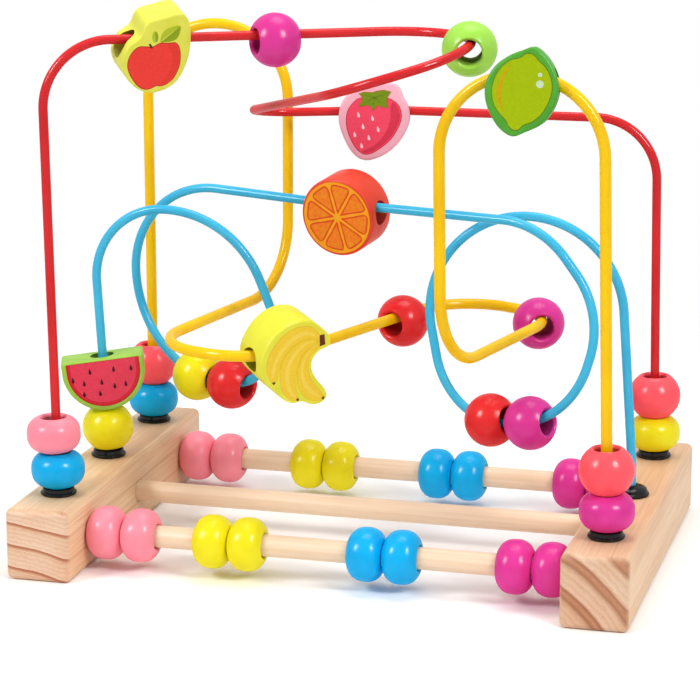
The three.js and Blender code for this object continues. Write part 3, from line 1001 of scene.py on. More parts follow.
@dataclass
class Wires:
    """The three bent wires and the black ferrules round their ends."""

    catalogue: Catalogue
    base: Base
    plan: WirePlan = field(default_factory=WirePlan)
    rise: float = 15  # of each wire above its foot before the first bend
    socket_bend: float = 80
    ferrule_diameter: float = 16.4
    ferrule_height: float = 5
    ferrule_rim: float = 1
    ferrule_mouth: float = 0.4
    # Corners of the lip: inwards from its edge, and up
    ferrule_lip: tuple[Point2, ...] = ((0.3, 0), (0, 0.3), (0, 0.9), (0.3, 1.25), (0.75, 1.55))
    dome_distances: tuple[float, ...] = (7.1, 6.7, 6.1, 5.3, 4.4, 3.5)

    def __post_init__(self) -> None:
        """Lays the three wires between their sockets."""
        plan = self.plan
        self.paths = {
            "red": self.path(Row.FRONT, Row.REAR, plan.red_corners, plan.thin),
            "yellow": self.path(Row.REAR, Row.FRONT, plan.yellow_corners, plan.thick),
            "blue": self.path(Row.MIDDLE, Row.MIDDLE, plan.blue_corners, plan.thin),
        }
        self.sockets = {
            Side.LEFT: {Row.FRONT: "red", Row.MIDDLE: "blue", Row.REAR: "yellow"},
            Side.RIGHT: {Row.FRONT: "yellow", Row.MIDDLE: "blue", Row.REAR: "red"},
        }

    def path(self, left: Row, right: Row, corners: Sequence[Corner], diameter: float) -> BentWire:
        """Lays a wire from a left socket to a right one.

        Args:
            left: the left socket's row.
            right: the right socket's row.
            corners: the bends between.
            diameter: the wire's thickness.

        Returns: the path.
        """
        end = self.base.height - self.base.wire_seat
        mouth = self.base.height + self.rise
        x = self.base.socket_x
        first, last = left.value * self.base.row_spacing, right.value * self.base.row_spacing
        bend = self.socket_bend
        rising = [(-x, first, end, bend), (-x, first, mouth, bend)]
        falling = [(x, last, mouth, bend), (x, last, end, bend)]
        return BentWire([*rising, *corners, *falling], diameter / 2)

    def in_sockets(self, side: Side) -> dict[Row, BentWire]:
        """Finds which wire stands in each socket of a foot.

        Args:
            side: the foot.

        Returns: the wire of each row.
        """
        return {row: self.paths[name] for row, name in self.sockets[side].items()}

    def tube(self, name: str) -> None:
        """Models one wire: a curve with a round bevel, made into a mesh.

        Args:
            name: the wire's colour.
        """
        path = self.paths[name]
        bpy.ops.object.select_all(action="DESELECT")
        bpy.ops.curve.primitive_nurbs_path_add()
        obj = bpy.context.object
        obj.name = f"fine_{name}_wire"
        curve = obj.data
        curve.splines.clear()
        curve.bevel_depth = path.radius * MM
        curve.bevel_resolution = 6
        curve.use_fill_caps = True
        stations = path.stations()
        spline = curve.splines.new("POLY")
        spline.points.add(len(stations) - 1)
        for spot, point in zip(spline.points, stations):
            spot.co = (*(point * MM), 1)
        bpy.ops.object.convert(target="MESH")
        obj = bpy.context.object
        smooth(obj)
        obj.data.transform(self.catalogue.shift)
        self.catalogue.adopt(obj, f"{name}_wire", PAINTS[name])

    def dome_height(self, distance: float) -> float:
        """Finds a ferrule's height above the foot.

        Args:
            distance: from its axis.

        Returns: the height of its dome there.
        """
        share = distance / (self.ferrule_diameter / 2)
        rise = self.ferrule_height - self.ferrule_rim
        return GAP + self.ferrule_rim + rise * math.sqrt(1 - share * share)

    def ferrules(self) -> None:
        """Models the ferrules, one shape for each wire thickness: a stem, a lip and a dome."""
        masters: dict[float, bpy.types.Object] = {}
        for side, rows in self.sockets.items():
            for row, wire in rows.items():
                radius = self.paths[wire].radius
                if radius not in masters:
                    masters[radius] = spun("ferrule_shape", self.ferrule_section(radius))
                name = f"{side.label}_{row.label}_ferrule"
                x, y = side.value * self.base.socket_x, row.value * self.base.row_spacing
                place = self.catalogue.put(Vector((x, y, self.base.height)))
                self.catalogue.adopt(copied(masters[radius], f"fine_{name}", place), name, FERRULE_PLASTIC)
        for master in masters.values():
            bpy.data.objects.remove(master, do_unlink=True)

    def ferrule_section(self, wire_radius: float) -> list[Point2]:
        """Draws a ferrule's section.

        Args:
            wire_radius: of the wire through it.

        Returns: its corners.
        """
        bore = wire_radius + GAP
        edge = self.ferrule_diameter / 2
        stem = self.base.stem_diameter / 2
        depth = self.base.stem_depth
        lip = [(edge - inset, GAP + height) for inset, height in self.ferrule_lip]
        rounds = (*self.dome_distances, bore + self.ferrule_mouth)
        dome = [(distance, self.dome_height(distance)) for distance in rounds]
        mouth = (bore, self.dome_height(bore) - self.ferrule_mouth)
        return [(bore, -depth), (stem, -depth), (stem, GAP), *lip, *dome, mouth]


# Beads


class BeadForm(Labelled):
    """The two turned bead shapes: thickness along the bore and fullness of the profile (2 is an ellipse)."""

    FLAT = (16.0, 2.5)
    ROUND = (19.6, 2.0)

    @property
    def thickness(self) -> float:
        """Returns: the length along the bore."""
        return self.value[0]

    @property
    def fullness(self) -> float:
        """Returns: the exponent of the profile."""
        return self.value[1]


@dataclass
class BeadMaker:
    """Turns the two bead shapes once and sets copies of them on rods and wires."""

    catalogue: Catalogue
    diameter: float = 24.4
    bore: float = 11
    rounding: float = 1.4
    outside_steps: int = 22
    mouth_angles: tuple[float, ...] = (110, 130, 150, 180)

    def __post_init__(self) -> None:
        """Turns both shapes and marks their bores."""
        self.masters: dict[BeadForm, bpy.types.Object] = {}
        for form in BeadForm:
            self.masters[form] = spun(f"{form.label}_bead_shape", self.section(form))
            mark_bore(self.masters[form], UP, self.bore / 2)

    @property
    def rim(self) -> float:
        """Returns: the radius of the ring that a bead stands on."""
        return self.bore / 2 + self.rounding

    def section(self, form: BeadForm) -> list[Point2]:
        """Draws a bead's section.

        Args:
            form: which shape.

        Returns: its corners from the bore's lower end round to its upper end.
        """
        half = form.thickness / 2
        radius = self.diameter / 2
        power = form.fullness
        depth = half / (1 - (self.rim / radius) ** power) ** (1 / power)
        outside = []
        for i in range(self.outside_steps + 1):
            height = half * math.sin(math.pi / 2 * (2 * i / self.outside_steps - 1))
            outside.append((radius * (1 - abs(height / depth) ** power) ** (1 / power), height))
        mouth = []
        for angle in map(math.radians, self.mouth_angles):
            height = half - self.rounding + self.rounding * math.sin(angle)
            mouth.append((self.rim + self.rounding * math.cos(angle), height))
        lower = [(distance, -height) for distance, height in reversed(mouth)]
        return [*lower, *outside, *mouth]

    def add(self, form: BeadForm, colour: str, node: str, axis: Vector, point: Vector) -> None:
        """Sets a bead.

        Args:
            form: which shape.
            colour: its lacquer.
            node: the CAD node that it stands for.
            axis: the direction of its bore.
            point: its middle.
        """
        place = self.catalogue.put(point, axis.to_track_quat("Z", "Y").to_matrix())
        paint = LACQUERS[colour]
        # The bore's faces take the lacquer darkened as painted shade
        self.catalogue.adopt(copied(self.masters[form], f"fine_{node}", place), node, paint, paint.in_bore())

    def put_away(self) -> None:
        """Removes the shapes that the beads were copied from."""
        for master in self.masters.values():
            bpy.data.objects.remove(master, do_unlink=True)


def hanging_point(spot: Spot, length: float, play: float, yaw: float = 0, roll: float = 0) -> Vector:
    """Finds the middle of a bore that hangs on a wire as low as its slack allows.

    Args:
        spot: the place on the wire.
        length: the bore's length.
        play: the room between wire and bore.
        yaw: the bore's angle to the wire in the level plane.
        roll: its angle in the upright plane.

    Returns: the middle of the bore.
    """
    half = length / 2
    aside = half * math.sin(yaw)
    slack = math.sqrt(play * play - aside * aside) - half * math.sin(roll)
    down = -(UP - spot.tangent * UP.dot(spot.tangent)).normalized()
    if spot.inward is None:
        return spot.point + down * slack
    sag = (spot.radius - math.sqrt(spot.radius ** 2 - half * half)) / 2
    lean = abs(spot.inward.dot(down))
    drop = math.sqrt(slack * slack - sag * sag * (1 - lean * lean)) - sag * lean
    return spot.point + spot.inward * sag + down * drop


@dataclass
class Abacus:
    """Four pairs of beads on each outer rod, with the free length shared between the pairs."""

    beads: BeadMaker
    base: Base
    colours: tuple[str, ...] = ("pink", "yellow", "blue", "magenta")
    front_gaps: tuple[float, ...] = (0.195, 0.425, 0.38)
    rear_gaps: tuple[float, ...] = (0.275, 0.355, 0.37)

    def build(self, row: Row) -> None:
        """Threads one rod's beads.

        Args:
            row: front or rear.
        """
        gaps = self.front_gaps if row is Row.FRONT else self.rear_gaps
        thickness = BeadForm.FLAT.thickness
        pitch = thickness + GAP
        free = 2 * self.base.inner_face - GAP - 2 * len(self.colours) * pitch
        sink = self.beads.bore / 2 - self.base.rod_diameter / 2 - GAP
        x = -self.base.inner_face + GAP + thickness / 2
        for pair, colour in enumerate(self.colours):
            for number in (1, 2):
                point = Vector((x, row.value * self.base.row_spacing, self.base.rod_height - sink))
                node = f"{row.label}_{colour}_bead_{number}"
                self.beads.add(BeadForm.FLAT, colour, node, Vector((1, 0, 0)), point)
                x += pitch
            x += free * gaps[pair] if pair < len(gaps) else 0


@dataclass
class Stacks:
    """Beads that stand on the ferrules round the wires' uprights."""

    beads: BeadMaker
    base: Base
    wires: Wires

    def foot(self, side: Side, row: Row) -> Spot:
        """Finds where a stack starts: on the ferrule's dome, a little higher where the wire leans.

        Args:
            side: the foot of the toy.
            row: the socket's row.

        Returns: the place on the wire, with its tangent upwards.
        """
        path = self.wires.paths[self.wires.sockets[side][row]]
        way = path.upright(side, 0).tangent
        lift = self.beads.diameter / 2 * math.hypot(way.x, way.y)
        height = self.base.height + self.wires.dome_height(self.beads.rim) + lift + GAP
        return path.upright(side, height)

    def build(self) -> None:
        """Stacks the beads from the ferrules up; each has its slip to the right in the bore's slack."""
        flat, thick = BeadForm.FLAT, BeadForm.ROUND
        plan = {
            (Side.LEFT, Row.FRONT): [("blue", flat, 0), ("pink", flat, -1.4)],
            (Side.LEFT, Row.MIDDLE): [("yellow", thick, 0)],
            (Side.LEFT, Row.REAR): [("blue", flat, 0), ("coral", thick, 0)],
            (Side.RIGHT, Row.FRONT): [("magenta", flat, 0), ("coral", thick, 0)],
            (Side.RIGHT, Row.REAR): [("yellow", flat, 0), ("coral", thick, 0)],
        }
        for (side, row), stack in plan.items():
            foot = self.foot(side, row)
            rise = 0.0
            for colour, form, slip in stack:
                point = foot.point + foot.tangent * (rise + form.thickness / 2) + Vector((slip, 0, 0))
                rise += form.thickness + GAP
                self.beads.add(form, colour, f"{side.label}_{row.label}_{colour}_bead", foot.tangent, point)


@dataclass
class WireBeads:
    """Single beads that hang on the wires."""

    beads: BeadMaker
    wires: Wires
    singles: tuple[tuple[str, str, At], ...] = (
        ("red", "magenta", At(0.61, run=2, yaw=12)),
        ("red", "green", At(0.16, bend=3)),
        ("yellow", "red", At(0.84, run=6)),
        ("yellow", "magenta", At(0.54, bend=7)),
    )
    loops: tuple[tuple[Side, tuple[tuple[str, At], ...]], ...] = (
        (Side.LEFT, (("red", At(0.95, bend=3)), ("yellow", At(0.19, bend=4)))),
        (Side.RIGHT, (("magenta", At(0.98, bend=9)), ("red", At(0.2, bend=10)))),
    )

    def hang(self, wire: str, colour: str, node: str, at: At, axis: Vector | None) -> None:
        """Hangs one bead.

        Args:
            wire: the wire's colour.
            colour: the bead's lacquer.
            node: the CAD node that it stands for.
            at: its place on the wire.
            axis: the direction of its bore, or None for along the wire.
        """
        path = self.wires.paths[wire]
        spot = path.spot(at)
        yaw = math.radians(at.yaw)
        roll = axis.angle(spot.tangent) if axis else 0
        play = self.beads.bore / 2 - path.radius - GAP
        point = hanging_point(spot, BeadForm.ROUND.thickness, play, yaw, roll)
        self.beads.add(BeadForm.ROUND, colour, node, axis or Quaternion(UP, yaw) @ spot.tangent, point)

    def build(self) -> None:
        """Hangs the single beads, and the pairs that meet on the blue loops along the line between them."""
        for wire, colour, at in self.singles:
            self.hang(wire, colour, f"{wire}_wire_{colour}_bead", at, None)
        path = self.wires.paths["blue"]
        for side, pair in self.loops:
            ends = [path.spot(at).point for _, at in pair]
            axis = (ends[1] - ends[0]).normalized()
            for colour, at in pair:
                self.hang("blue", colour, f"{side.label}_loop_{colour}_bead", at, axis)


# Outlines


def curved(points: Sequence[Point2], steps: int = 6) -> Outline:
    """Draws a closed centripetal curve through points.

    Args:
        points: the points to pass.
        steps: pieces between two of them.

    Returns: the fine outline.
    """
    spots = [Vector(point) for point in points]
    count = len(spots)
    fine: Outline = []
    for i in range(count):
        before, start, end, after = (spots[(i + offset) % count] for offset in (-1, 0, 1, 2))
        t0, t1, t2 = (math.sqrt((b - a).length) for a, b in ((before, start), (start, end), (end, after)))
        leave = ((start - before) / t0 - (end - before) / (t0 + t1) + (end - start) / t1) * t1
        reach = ((end - start) / t1 - (after - start) / (t1 + t2) + (after - end) / t2) * t1
        for step in range(steps):
            s = step / steps
            spot = (start * (2 * s ** 3 - 3 * s ** 2 + 1) + leave * (s ** 3 - 2 * s ** 2 + s)
                    + end * (3 * s ** 2 - 2 * s ** 3) + reach * (s ** 3 - s ** 2))
            fine.append((spot.x, spot.y))
    return fine


def grown(outline: Outline, margin: float) -> Outline:
    """Moves an outline's points outwards.

    Args:
        outline: the outline.
        margin: how far; less than 0 moves them inwards.

    Returns: the larger outline.
    """
    count = len(outline)
    area = sum(outline[i - 1][0] * outline[i][1] - outline[i][0] * outline[i - 1][1] for i in range(count))
    sign = 1 if area > 0 else -1
    moved: Outline = []
    for i, (u, v) in enumerate(outline):
        way = Vector(outline[(i + 1) % count]) - Vector(outline[i - 1])
        way = way.normalized() * margin * sign
        moved.append((u + way.y, v - way.x))
    return moved


def disc(centre: Point2, radius: float, steps: int = 24) -> Outline:
    """Draws a circle.

    Args:
        centre: its middle.
        radius: its radius.
        steps: how many points.

    Returns: the outline.
    """
    turns = [math.tau * i / steps for i in range(steps)]
    return [(centre[0] + radius * math.cos(a), centre[1] + radius * math.sin(a)) for a in turns]


def drop(centre: Point2, width: float, height: float, tilt: float = 0) -> Outline:
    """Draws a seed: a drop with its point up.

    Args:
        centre: its middle.
        width: its width.
        height: its height.
        tilt: degrees that the point leans to the left.

    Returns: the outline.
    """
    steps, fullness, taper = 18, 0.62, 1.4
    c, s = math.cos(math.radians(tilt)), math.sin(math.radians(tilt))
    points: Outline = []
    for turn in (math.tau * i / steps for i in range(steps)):
        u = width * fullness * math.sin(turn) * math.sin(turn / 2) ** taper
        v = height / 2 * math.cos(turn)
        points.append((centre[0] + u * c - v * s, centre[1] + u * s + v * c))
    return points


def stroke(start: Point2, end: Point2, width: float) -> Outline:
    """Draws a pen stroke that runs out to a point.

    Args:
        start: its broad end.
        end: its point.
        width: its width at the broad end.

    Returns: the outline.
    """
    way = (Vector(end) - Vector(start)).normalized() * width / 2
    return [(start[0] - way.y, start[1] + way.x), (start[0] + way.y, start[1] - way.x), end]


def segment(centre: Point2, middle: float, half: float, inner: float, outer: float, spoke: float) -> Outline:
    """Draws one segment of a citrus slice with rounded corners.

    Args:
        centre: the slice's middle.
        middle: the segment's direction, in degrees.
        half: half its angle, in degrees.
        inner: where it starts along its sides.
        outer: its outer radius.
        spoke: the width of the pith between two segments.

    Returns: the outline.
    """
    def ray(angle: float, along: float, aside: float) -> Point2:
        """Finds a point beside a ray from the slice's middle.

        Args:
            angle: the ray's direction, in degrees.
            along: how far out.
            aside: how far to its left.

        Returns: the point.
        """
        a = math.radians(angle)
        u = along * math.cos(a) - aside * math.sin(a)
        v = along * math.sin(a) + aside * math.cos(a)
        return (centre[0] + u, centre[1] + v)

    corner, arc_share = 1.6, 0.7
    shoulder = outer - corner
    side = (inner, (inner + shoulder) / 2, shoulder)
    arc = half * arc_share
    return curved([
        *(ray(middle - half, along, spoke / 2) for along in side),
        *(ray(middle + aside, outer, 0) for aside in (-arc, 0, arc)),
        *(ray(middle + half, along, -spoke / 2) for along in reversed(side)),
    ], PRINT_STEPS)


# Fruit


@dataclass(frozen=True)
class Layer:
    """One ink of a printed fruit: its outlines, and its place in the printing order."""

    name: str
    ink: PrintInk
    outlines: list[Outline]
    order: int = 1


@dataclass(frozen=True)
class Turns:
    """Degrees: yaw turns a fruit's face right, roll lifts its right side, lean brings its top forward."""

    yaw: float = 0
    roll: float = 0
    lean: float = 0

    def matrix(self) -> Matrix:
        """Returns: the turns as one rotation."""
        yaw = Matrix.Rotation(math.radians(self.yaw), 3, "Z")
        roll = Matrix.Rotation(math.radians(-self.roll), 3, "Y")
        lean = Matrix.Rotation(math.radians(self.lean), 3, "X")
        return yaw @ roll @ lean


@dataclass(kw_only=True)
class Fruit(ABC):
    """A sawn wooden plate with a rounded rim, bored for its wire and printed on both faces."""

    catalogue: Catalogue
    node: str
    paint: Lacquer
    below: float = 0  # from the bore's middle down to the outline's origin
    bore_axis: str = "X"
    bore: float = 11
    sanded: float = 0.15  # off the bore's wall
    drill: float = 80  # long enough for every plate
    thickness: float = 19
    rim: float = 1.2
    print_edge: float = 0.35  # width of the dark line round a print
    ink_rise: float = 0.05
    ink_sunk: float = 0.05

    @abstractmethod
    def shape(self) -> Outline:
        """Returns: the plate's outline from the front."""

    @abstractmethod
    def layers(self) -> list[Layer]:
        """Returns: the prints."""

    @abstractmethod
    def place(self) -> Matrix:
        """Returns: where the bore's middle is and how the plate is turned, in metres."""

    def build(self) -> None:
        """Models the plate with its bore, then its prints."""
        half = self.thickness / 2
        place = self.place()
        lowered = Matrix.Translation((0, 0, -self.below * MM))
        obj = plate(f"fine_{self.node}", self.shape(), -half, half, self.rim)
        obj.data.transform(lowered)
        radius = self.bore / 2 + self.sanded
        cut(obj, cylinder(radius, self.drill, self.bore_axis, Vector()))
        mark_bore(obj, Vector((1, 0, 0)) if self.bore_axis == "X" else UP, radius)
        smooth(obj)
        obj.data.transform(place)
        # The bore's faces take the lacquer darkened as painted shade
        self.catalogue.adopt(obj, self.node, self.paint, self.paint.in_bore())
        for layer in self.layers():
            self.print_layer(layer, place @ lowered)

    def print_layer(self, layer: Layer, place: Matrix) -> None:
        """Lays one ink on both faces as thin closed plates.

        Args:
            layer: the ink and its outlines.
            place: the plate's place in metres.
        """
        half = self.thickness / 2
        top = half + self.ink_rise * layer.order
        bottom = half - self.ink_sunk
        to_back = Matrix.Translation((0, (top + bottom) * MM, 0))
        shells = []
        for outline in layer.outlines:
            front = plate(layer.name, outline, -top, -bottom)
            shells += [front, copied(front, layer.name, to_back)]
        obj = joined(f"{self.node}_{layer.name}", shells)
        obj.data.transform(place)
        self.catalogue.dress(obj, self.node, layer.ink)


@dataclass(kw_only=True)
class WireFruit(Fruit):
    """A fruit that hangs on a wire, with its outline given by points."""

    wires: Wires
    wire: str
    at: At
    bore_length: float
    turns: Turns
    outline: tuple[Point2, ...] = ()
    outline_steps: int = 6

    def shape(self) -> Outline:
        """Returns: the curve through the outline's points."""
        return curved(self.outline, self.outline_steps)

    def place(self) -> Matrix:
        """Returns: where the plate hangs, as low as its bore's slack allows."""
        path = self.wires.paths[self.wire]
        spot = path.spot(self.at)
        play = self.bore / 2 - path.radius - GAP
        yaw, roll = math.radians(self.turns.yaw), math.radians(self.turns.roll)
        point = hanging_point(spot, self.bore_length, play, yaw, roll)
        ahead = spot.tangent if spot.tangent.x > 0 else -spot.tangent
        back = UP.cross(ahead).normalized()
        axes = Matrix((ahead, back, ahead.cross(back))).transposed()
        return self.catalogue.put(point, axes @ self.turns.matrix())


@dataclass(kw_only=True)
class Apple(WireFruit):
    """Yellow-green plate printed with a red apple, a stem and two leaves."""

    node: str = "apple"
    paint: Lacquer = Lacquer("yellow-green satin paint", "#E8E858", "#E0DF4C", roughness=0.3)
    wire: str = "red"
    at: At = At(0.15, run=2)
    bore_length: float = 32
    turns: Turns = Turns(yaw=8, roll=5, lean=14)
    outline: tuple[Point2, ...] = (
        (-2, -21.4), (8, -18.2), (14, -8.7), (16, 1.3), (15.6, 9.8), (12.5, 14.1), (4, 13.5),
        (-3.5, 11.8), (-7, 5.8), (-12.5, 2.3), (-16, -4.7), (-14.5, -11.7), (-9, -18.7),
    )
    flesh: tuple[Point2, ...] = (
        (-7.6, 1.3), (-9.9, 0.1), (-12.2, -2.8), (-13.2, -6.7), (-12.6, -10.1), (-11.3, -13.1),
        (-9.5, -16), (-7.2, -18.1), (-4.9, -18.8), (-2.6, -18.3), (-0.8, -17.7), (1, -18.1),
        (3.7, -17.6), (6.5, -15.8), (8.7, -12.7), (10.1, -9.2), (10.6, -4.9), (10.1, -1), (8.7, 0.9),
        (6.9, 1.1), (4.6, 1.3), (2.4, 1.8), (0.1, 1), (-2, 0.4), (-4.5, 0.9),
    )
    shadow: tuple[Point2, ...] = (
        (5.2, 0.5), (8.2, 0.3), (9.7, -1.6), (10.1, -5), (9.6, -9), (8.2, -12.4), (6, -15.4),
        (3.4, -17.1), (1, -17.6), (3.2, -15.5), (5.4, -12.1), (6.8, -8.1), (7.1, -3.9),
    )
    big_leaf: tuple[Point2, ...] = (
        (2, 2.5), (2.4, 5.2), (4.2, 7.5), (6.9, 8.6), (11.4, 8.6), (10.8, 5.2), (9.2, 2.7), (6.5, 2),
        (3.7, 2.2),
    )
    big_leaf_shade: tuple[Point2, ...] = (
        (2.2, 2.5), (6.2, 5.2), (11.2, 8.4), (10.8, 5.2), (9.2, 2.8), (6.5, 2.1), (3.7, 2.3),
    )
    stem: tuple[Point2, ...] = ((-3.4, 2.0), (-2.6, 2.3), (-1.5, 0.2), (-2.4, 0.0))
    small_leaf: Point2 = (-0.3, 5.1)
    small_leaf_radii: Point2 = (1.35, 2.6)
    small_leaf_fold: float = -0.2
    veins: tuple[tuple[Point2, Point2, float], ...] = (
        ((2.6, 2.9), (10.6, 8.1), 0.5), ((-0.6, 2.9), (-0.3, 7.2), 0.4),
    )

    def layers(self) -> list[Layer]:
        """Returns: the apple with its edge and shade, the leaves and the stem."""
        flesh = curved(self.flesh, PRINT_STEPS)
        (right, up), (wide, high) = self.small_leaf, self.small_leaf_radii
        small_leaf = [(right + wide * u, up + high * v) for u, v in disc((0, 0), 1)]
        small_shade = [(max(u, self.small_leaf_fold), v) for u, v in small_leaf]
        return [
            Layer("apple_edge_print", PrintInk("dark red edge ink", "#B42414", "#A01C10"),
                  [grown(flesh, self.print_edge)]),
            Layer("apple_print", PrintInk("apple red ink", "#F5423A", "#EE3830"), [flesh], 2),
            Layer("apple_shade_print", PrintInk("apple shade ink", "#EC3C30", "#E43428"),
                  [curved(self.shadow, PRINT_STEPS)], 3),
            Layer("leaf_print", PrintInk("leaf green ink", "#BCCA2C", "#B0C024"),
                  [curved(self.big_leaf, PRINT_STEPS), small_leaf], 2),
            Layer("leaf_shade_print", PrintInk("leaf shade ink", "#93AA1C", "#88A014"),
                  [list(self.big_leaf_shade), small_shade], 3),
            Layer("leaf_vein_print", PrintInk("leaf vein ink", "#D2DC60", "#C8D254"),
                  [stroke(*vein) for vein in self.veins], 4),
            Layer("stem_print", PrintInk("stem brown ink", "#4A2A10", "#3C2008"), [list(self.stem)], 3),
        ]


@dataclass(kw_only=True)
class Strawberry(WireFruit):
    """Pale pink plate printed with a strawberry, its green calyx and pale seeds."""

    node: str = "strawberry"
    paint: Lacquer = Lacquer("pale pink satin paint", "#F5B4C4", "#EFA8BA", roughness=0.3)
    wire: str = "red"
    at: At = At(-0.12, run=7)
    bore_length: float = 33
    below: float = 1.5
    turns: Turns = Turns(yaw=10, lean=-8)
    outline: tuple[Point2, ...] = (
        (-4, -21.2), (5, -18.5), (12, -12.3), (16.3, -4), (16.5, 2.5), (13.5, 9), (11.2, 13.6),
        (7, 15.3), (0, 13.8), (-9, 12), (-14.5, 7.5), (-16.8, -1), (-15, -9), (-9.5, -18.4),
    )
    flesh: tuple[Point2, ...] = (
        (-7, 7.8), (-9.9, 5.5), (-12.2, 2.1), (-13, -2.5), (-12.2, -7.5), (-9.9, -12.9), (-7.2, -16.5),
        (-4, -18.2), (-0.8, -17.5), (3.7, -14.7), (7.8, -11.1), (10.5, -7), (12.4, -2.5), (12.6, 0.7),
        (11.5, 4.4), (9.2, 6.6), (6.5, 7.8), (-0.8, 7.5),
    )
    shadow: tuple[Point2, ...] = (
        (8.6, 6.4), (11, 4.1), (12.1, 0.7), (11.9, -2.5), (10, -6.8), (7.4, -10.8), (3.4, -14.3),
        (-0.9, -17), (-4, -17.7), (-5.6, -17.1), (-1.7, -15.2), (2.8, -11.8), (6.3, -6.3), (7.7, -1.2),
        (7.6, 3.2),
    )
    calyx: tuple[Point2, ...] = (
        (-7.1, 10), (-4.9, 10.7), (-0.8, 10.5), (1, 11.2), (4.6, 11.7), (7.8, 11), (6, 8.7), (5.8, 6.2),
        (6.3, 3.5), (3.7, 4.1), (1.5, 5), (0.8, 3.9), (-0.4, 2.3), (-1.5, 4.4), (-4, 4.8), (-7.2, 4.1),
        (-5.6, 6.9), (-5.6, 8.7),
    )
    calyx_heart: Point2 = (0.2, 8.4)
    calyx_tips: tuple[Point2, ...] = ((-6.2, 9.8), (-6.2, 4.7), (-0.4, 3.2), (5.6, 4.4), (6.8, 10.7))
    seeds: tuple[Point2, ...] = (
        (-7.4, 0.3), (-0.8, -1.3), (-5.2, -5.2), (1.9, -6.4), (-9.1, -9), (-2.4, -10.4), (-5.8, -14.2),
    )
    calyx_edge: float = 0.3
    calyx_vein: float = 0.5
    seed_width: float = 1.5
    seed_height: float = 2.7
    seed_tilt: float = 12

    def layers(self) -> list[Layer]:
        """Returns: the berry with its edge and shade, the calyx and the seeds."""
        flesh = curved(self.flesh, PRINT_STEPS)
        calyx = list(self.calyx)
        veins = [stroke(self.calyx_heart, tip, self.calyx_vein) for tip in self.calyx_tips]
        seeds = [drop(seed, self.seed_width, self.seed_height, self.seed_tilt) for seed in self.seeds]
        return [
            Layer("berry_edge_print", PrintInk("berry edge ink", "#C83048", "#BC2840"),
                  [grown(flesh, self.print_edge)]),
            Layer("berry_print", PrintInk("berry pink ink", "#F24C68", "#EC4460"), [flesh], 2),
            Layer("berry_shade_print", PrintInk("berry shade ink", "#DA3852", "#D0304A"),
                  [curved(self.shadow, PRINT_STEPS)], 3),
            Layer("calyx_edge_print", PrintInk("calyx edge ink", "#B0701C", "#A06414"),
                  [grown(calyx, self.calyx_edge)], 4),
            Layer("calyx_print", PrintInk("calyx green ink", "#78941A", "#6C8814"), [calyx], 5),
            Layer("calyx_vein_print", PrintInk("calyx vein ink", "#66800E", "#5C7408"), veins, 6),
            Layer("seed_print", PrintInk("pale seed ink", "#FCD2DA", "#F6C4CE"), seeds, 4),
        ]


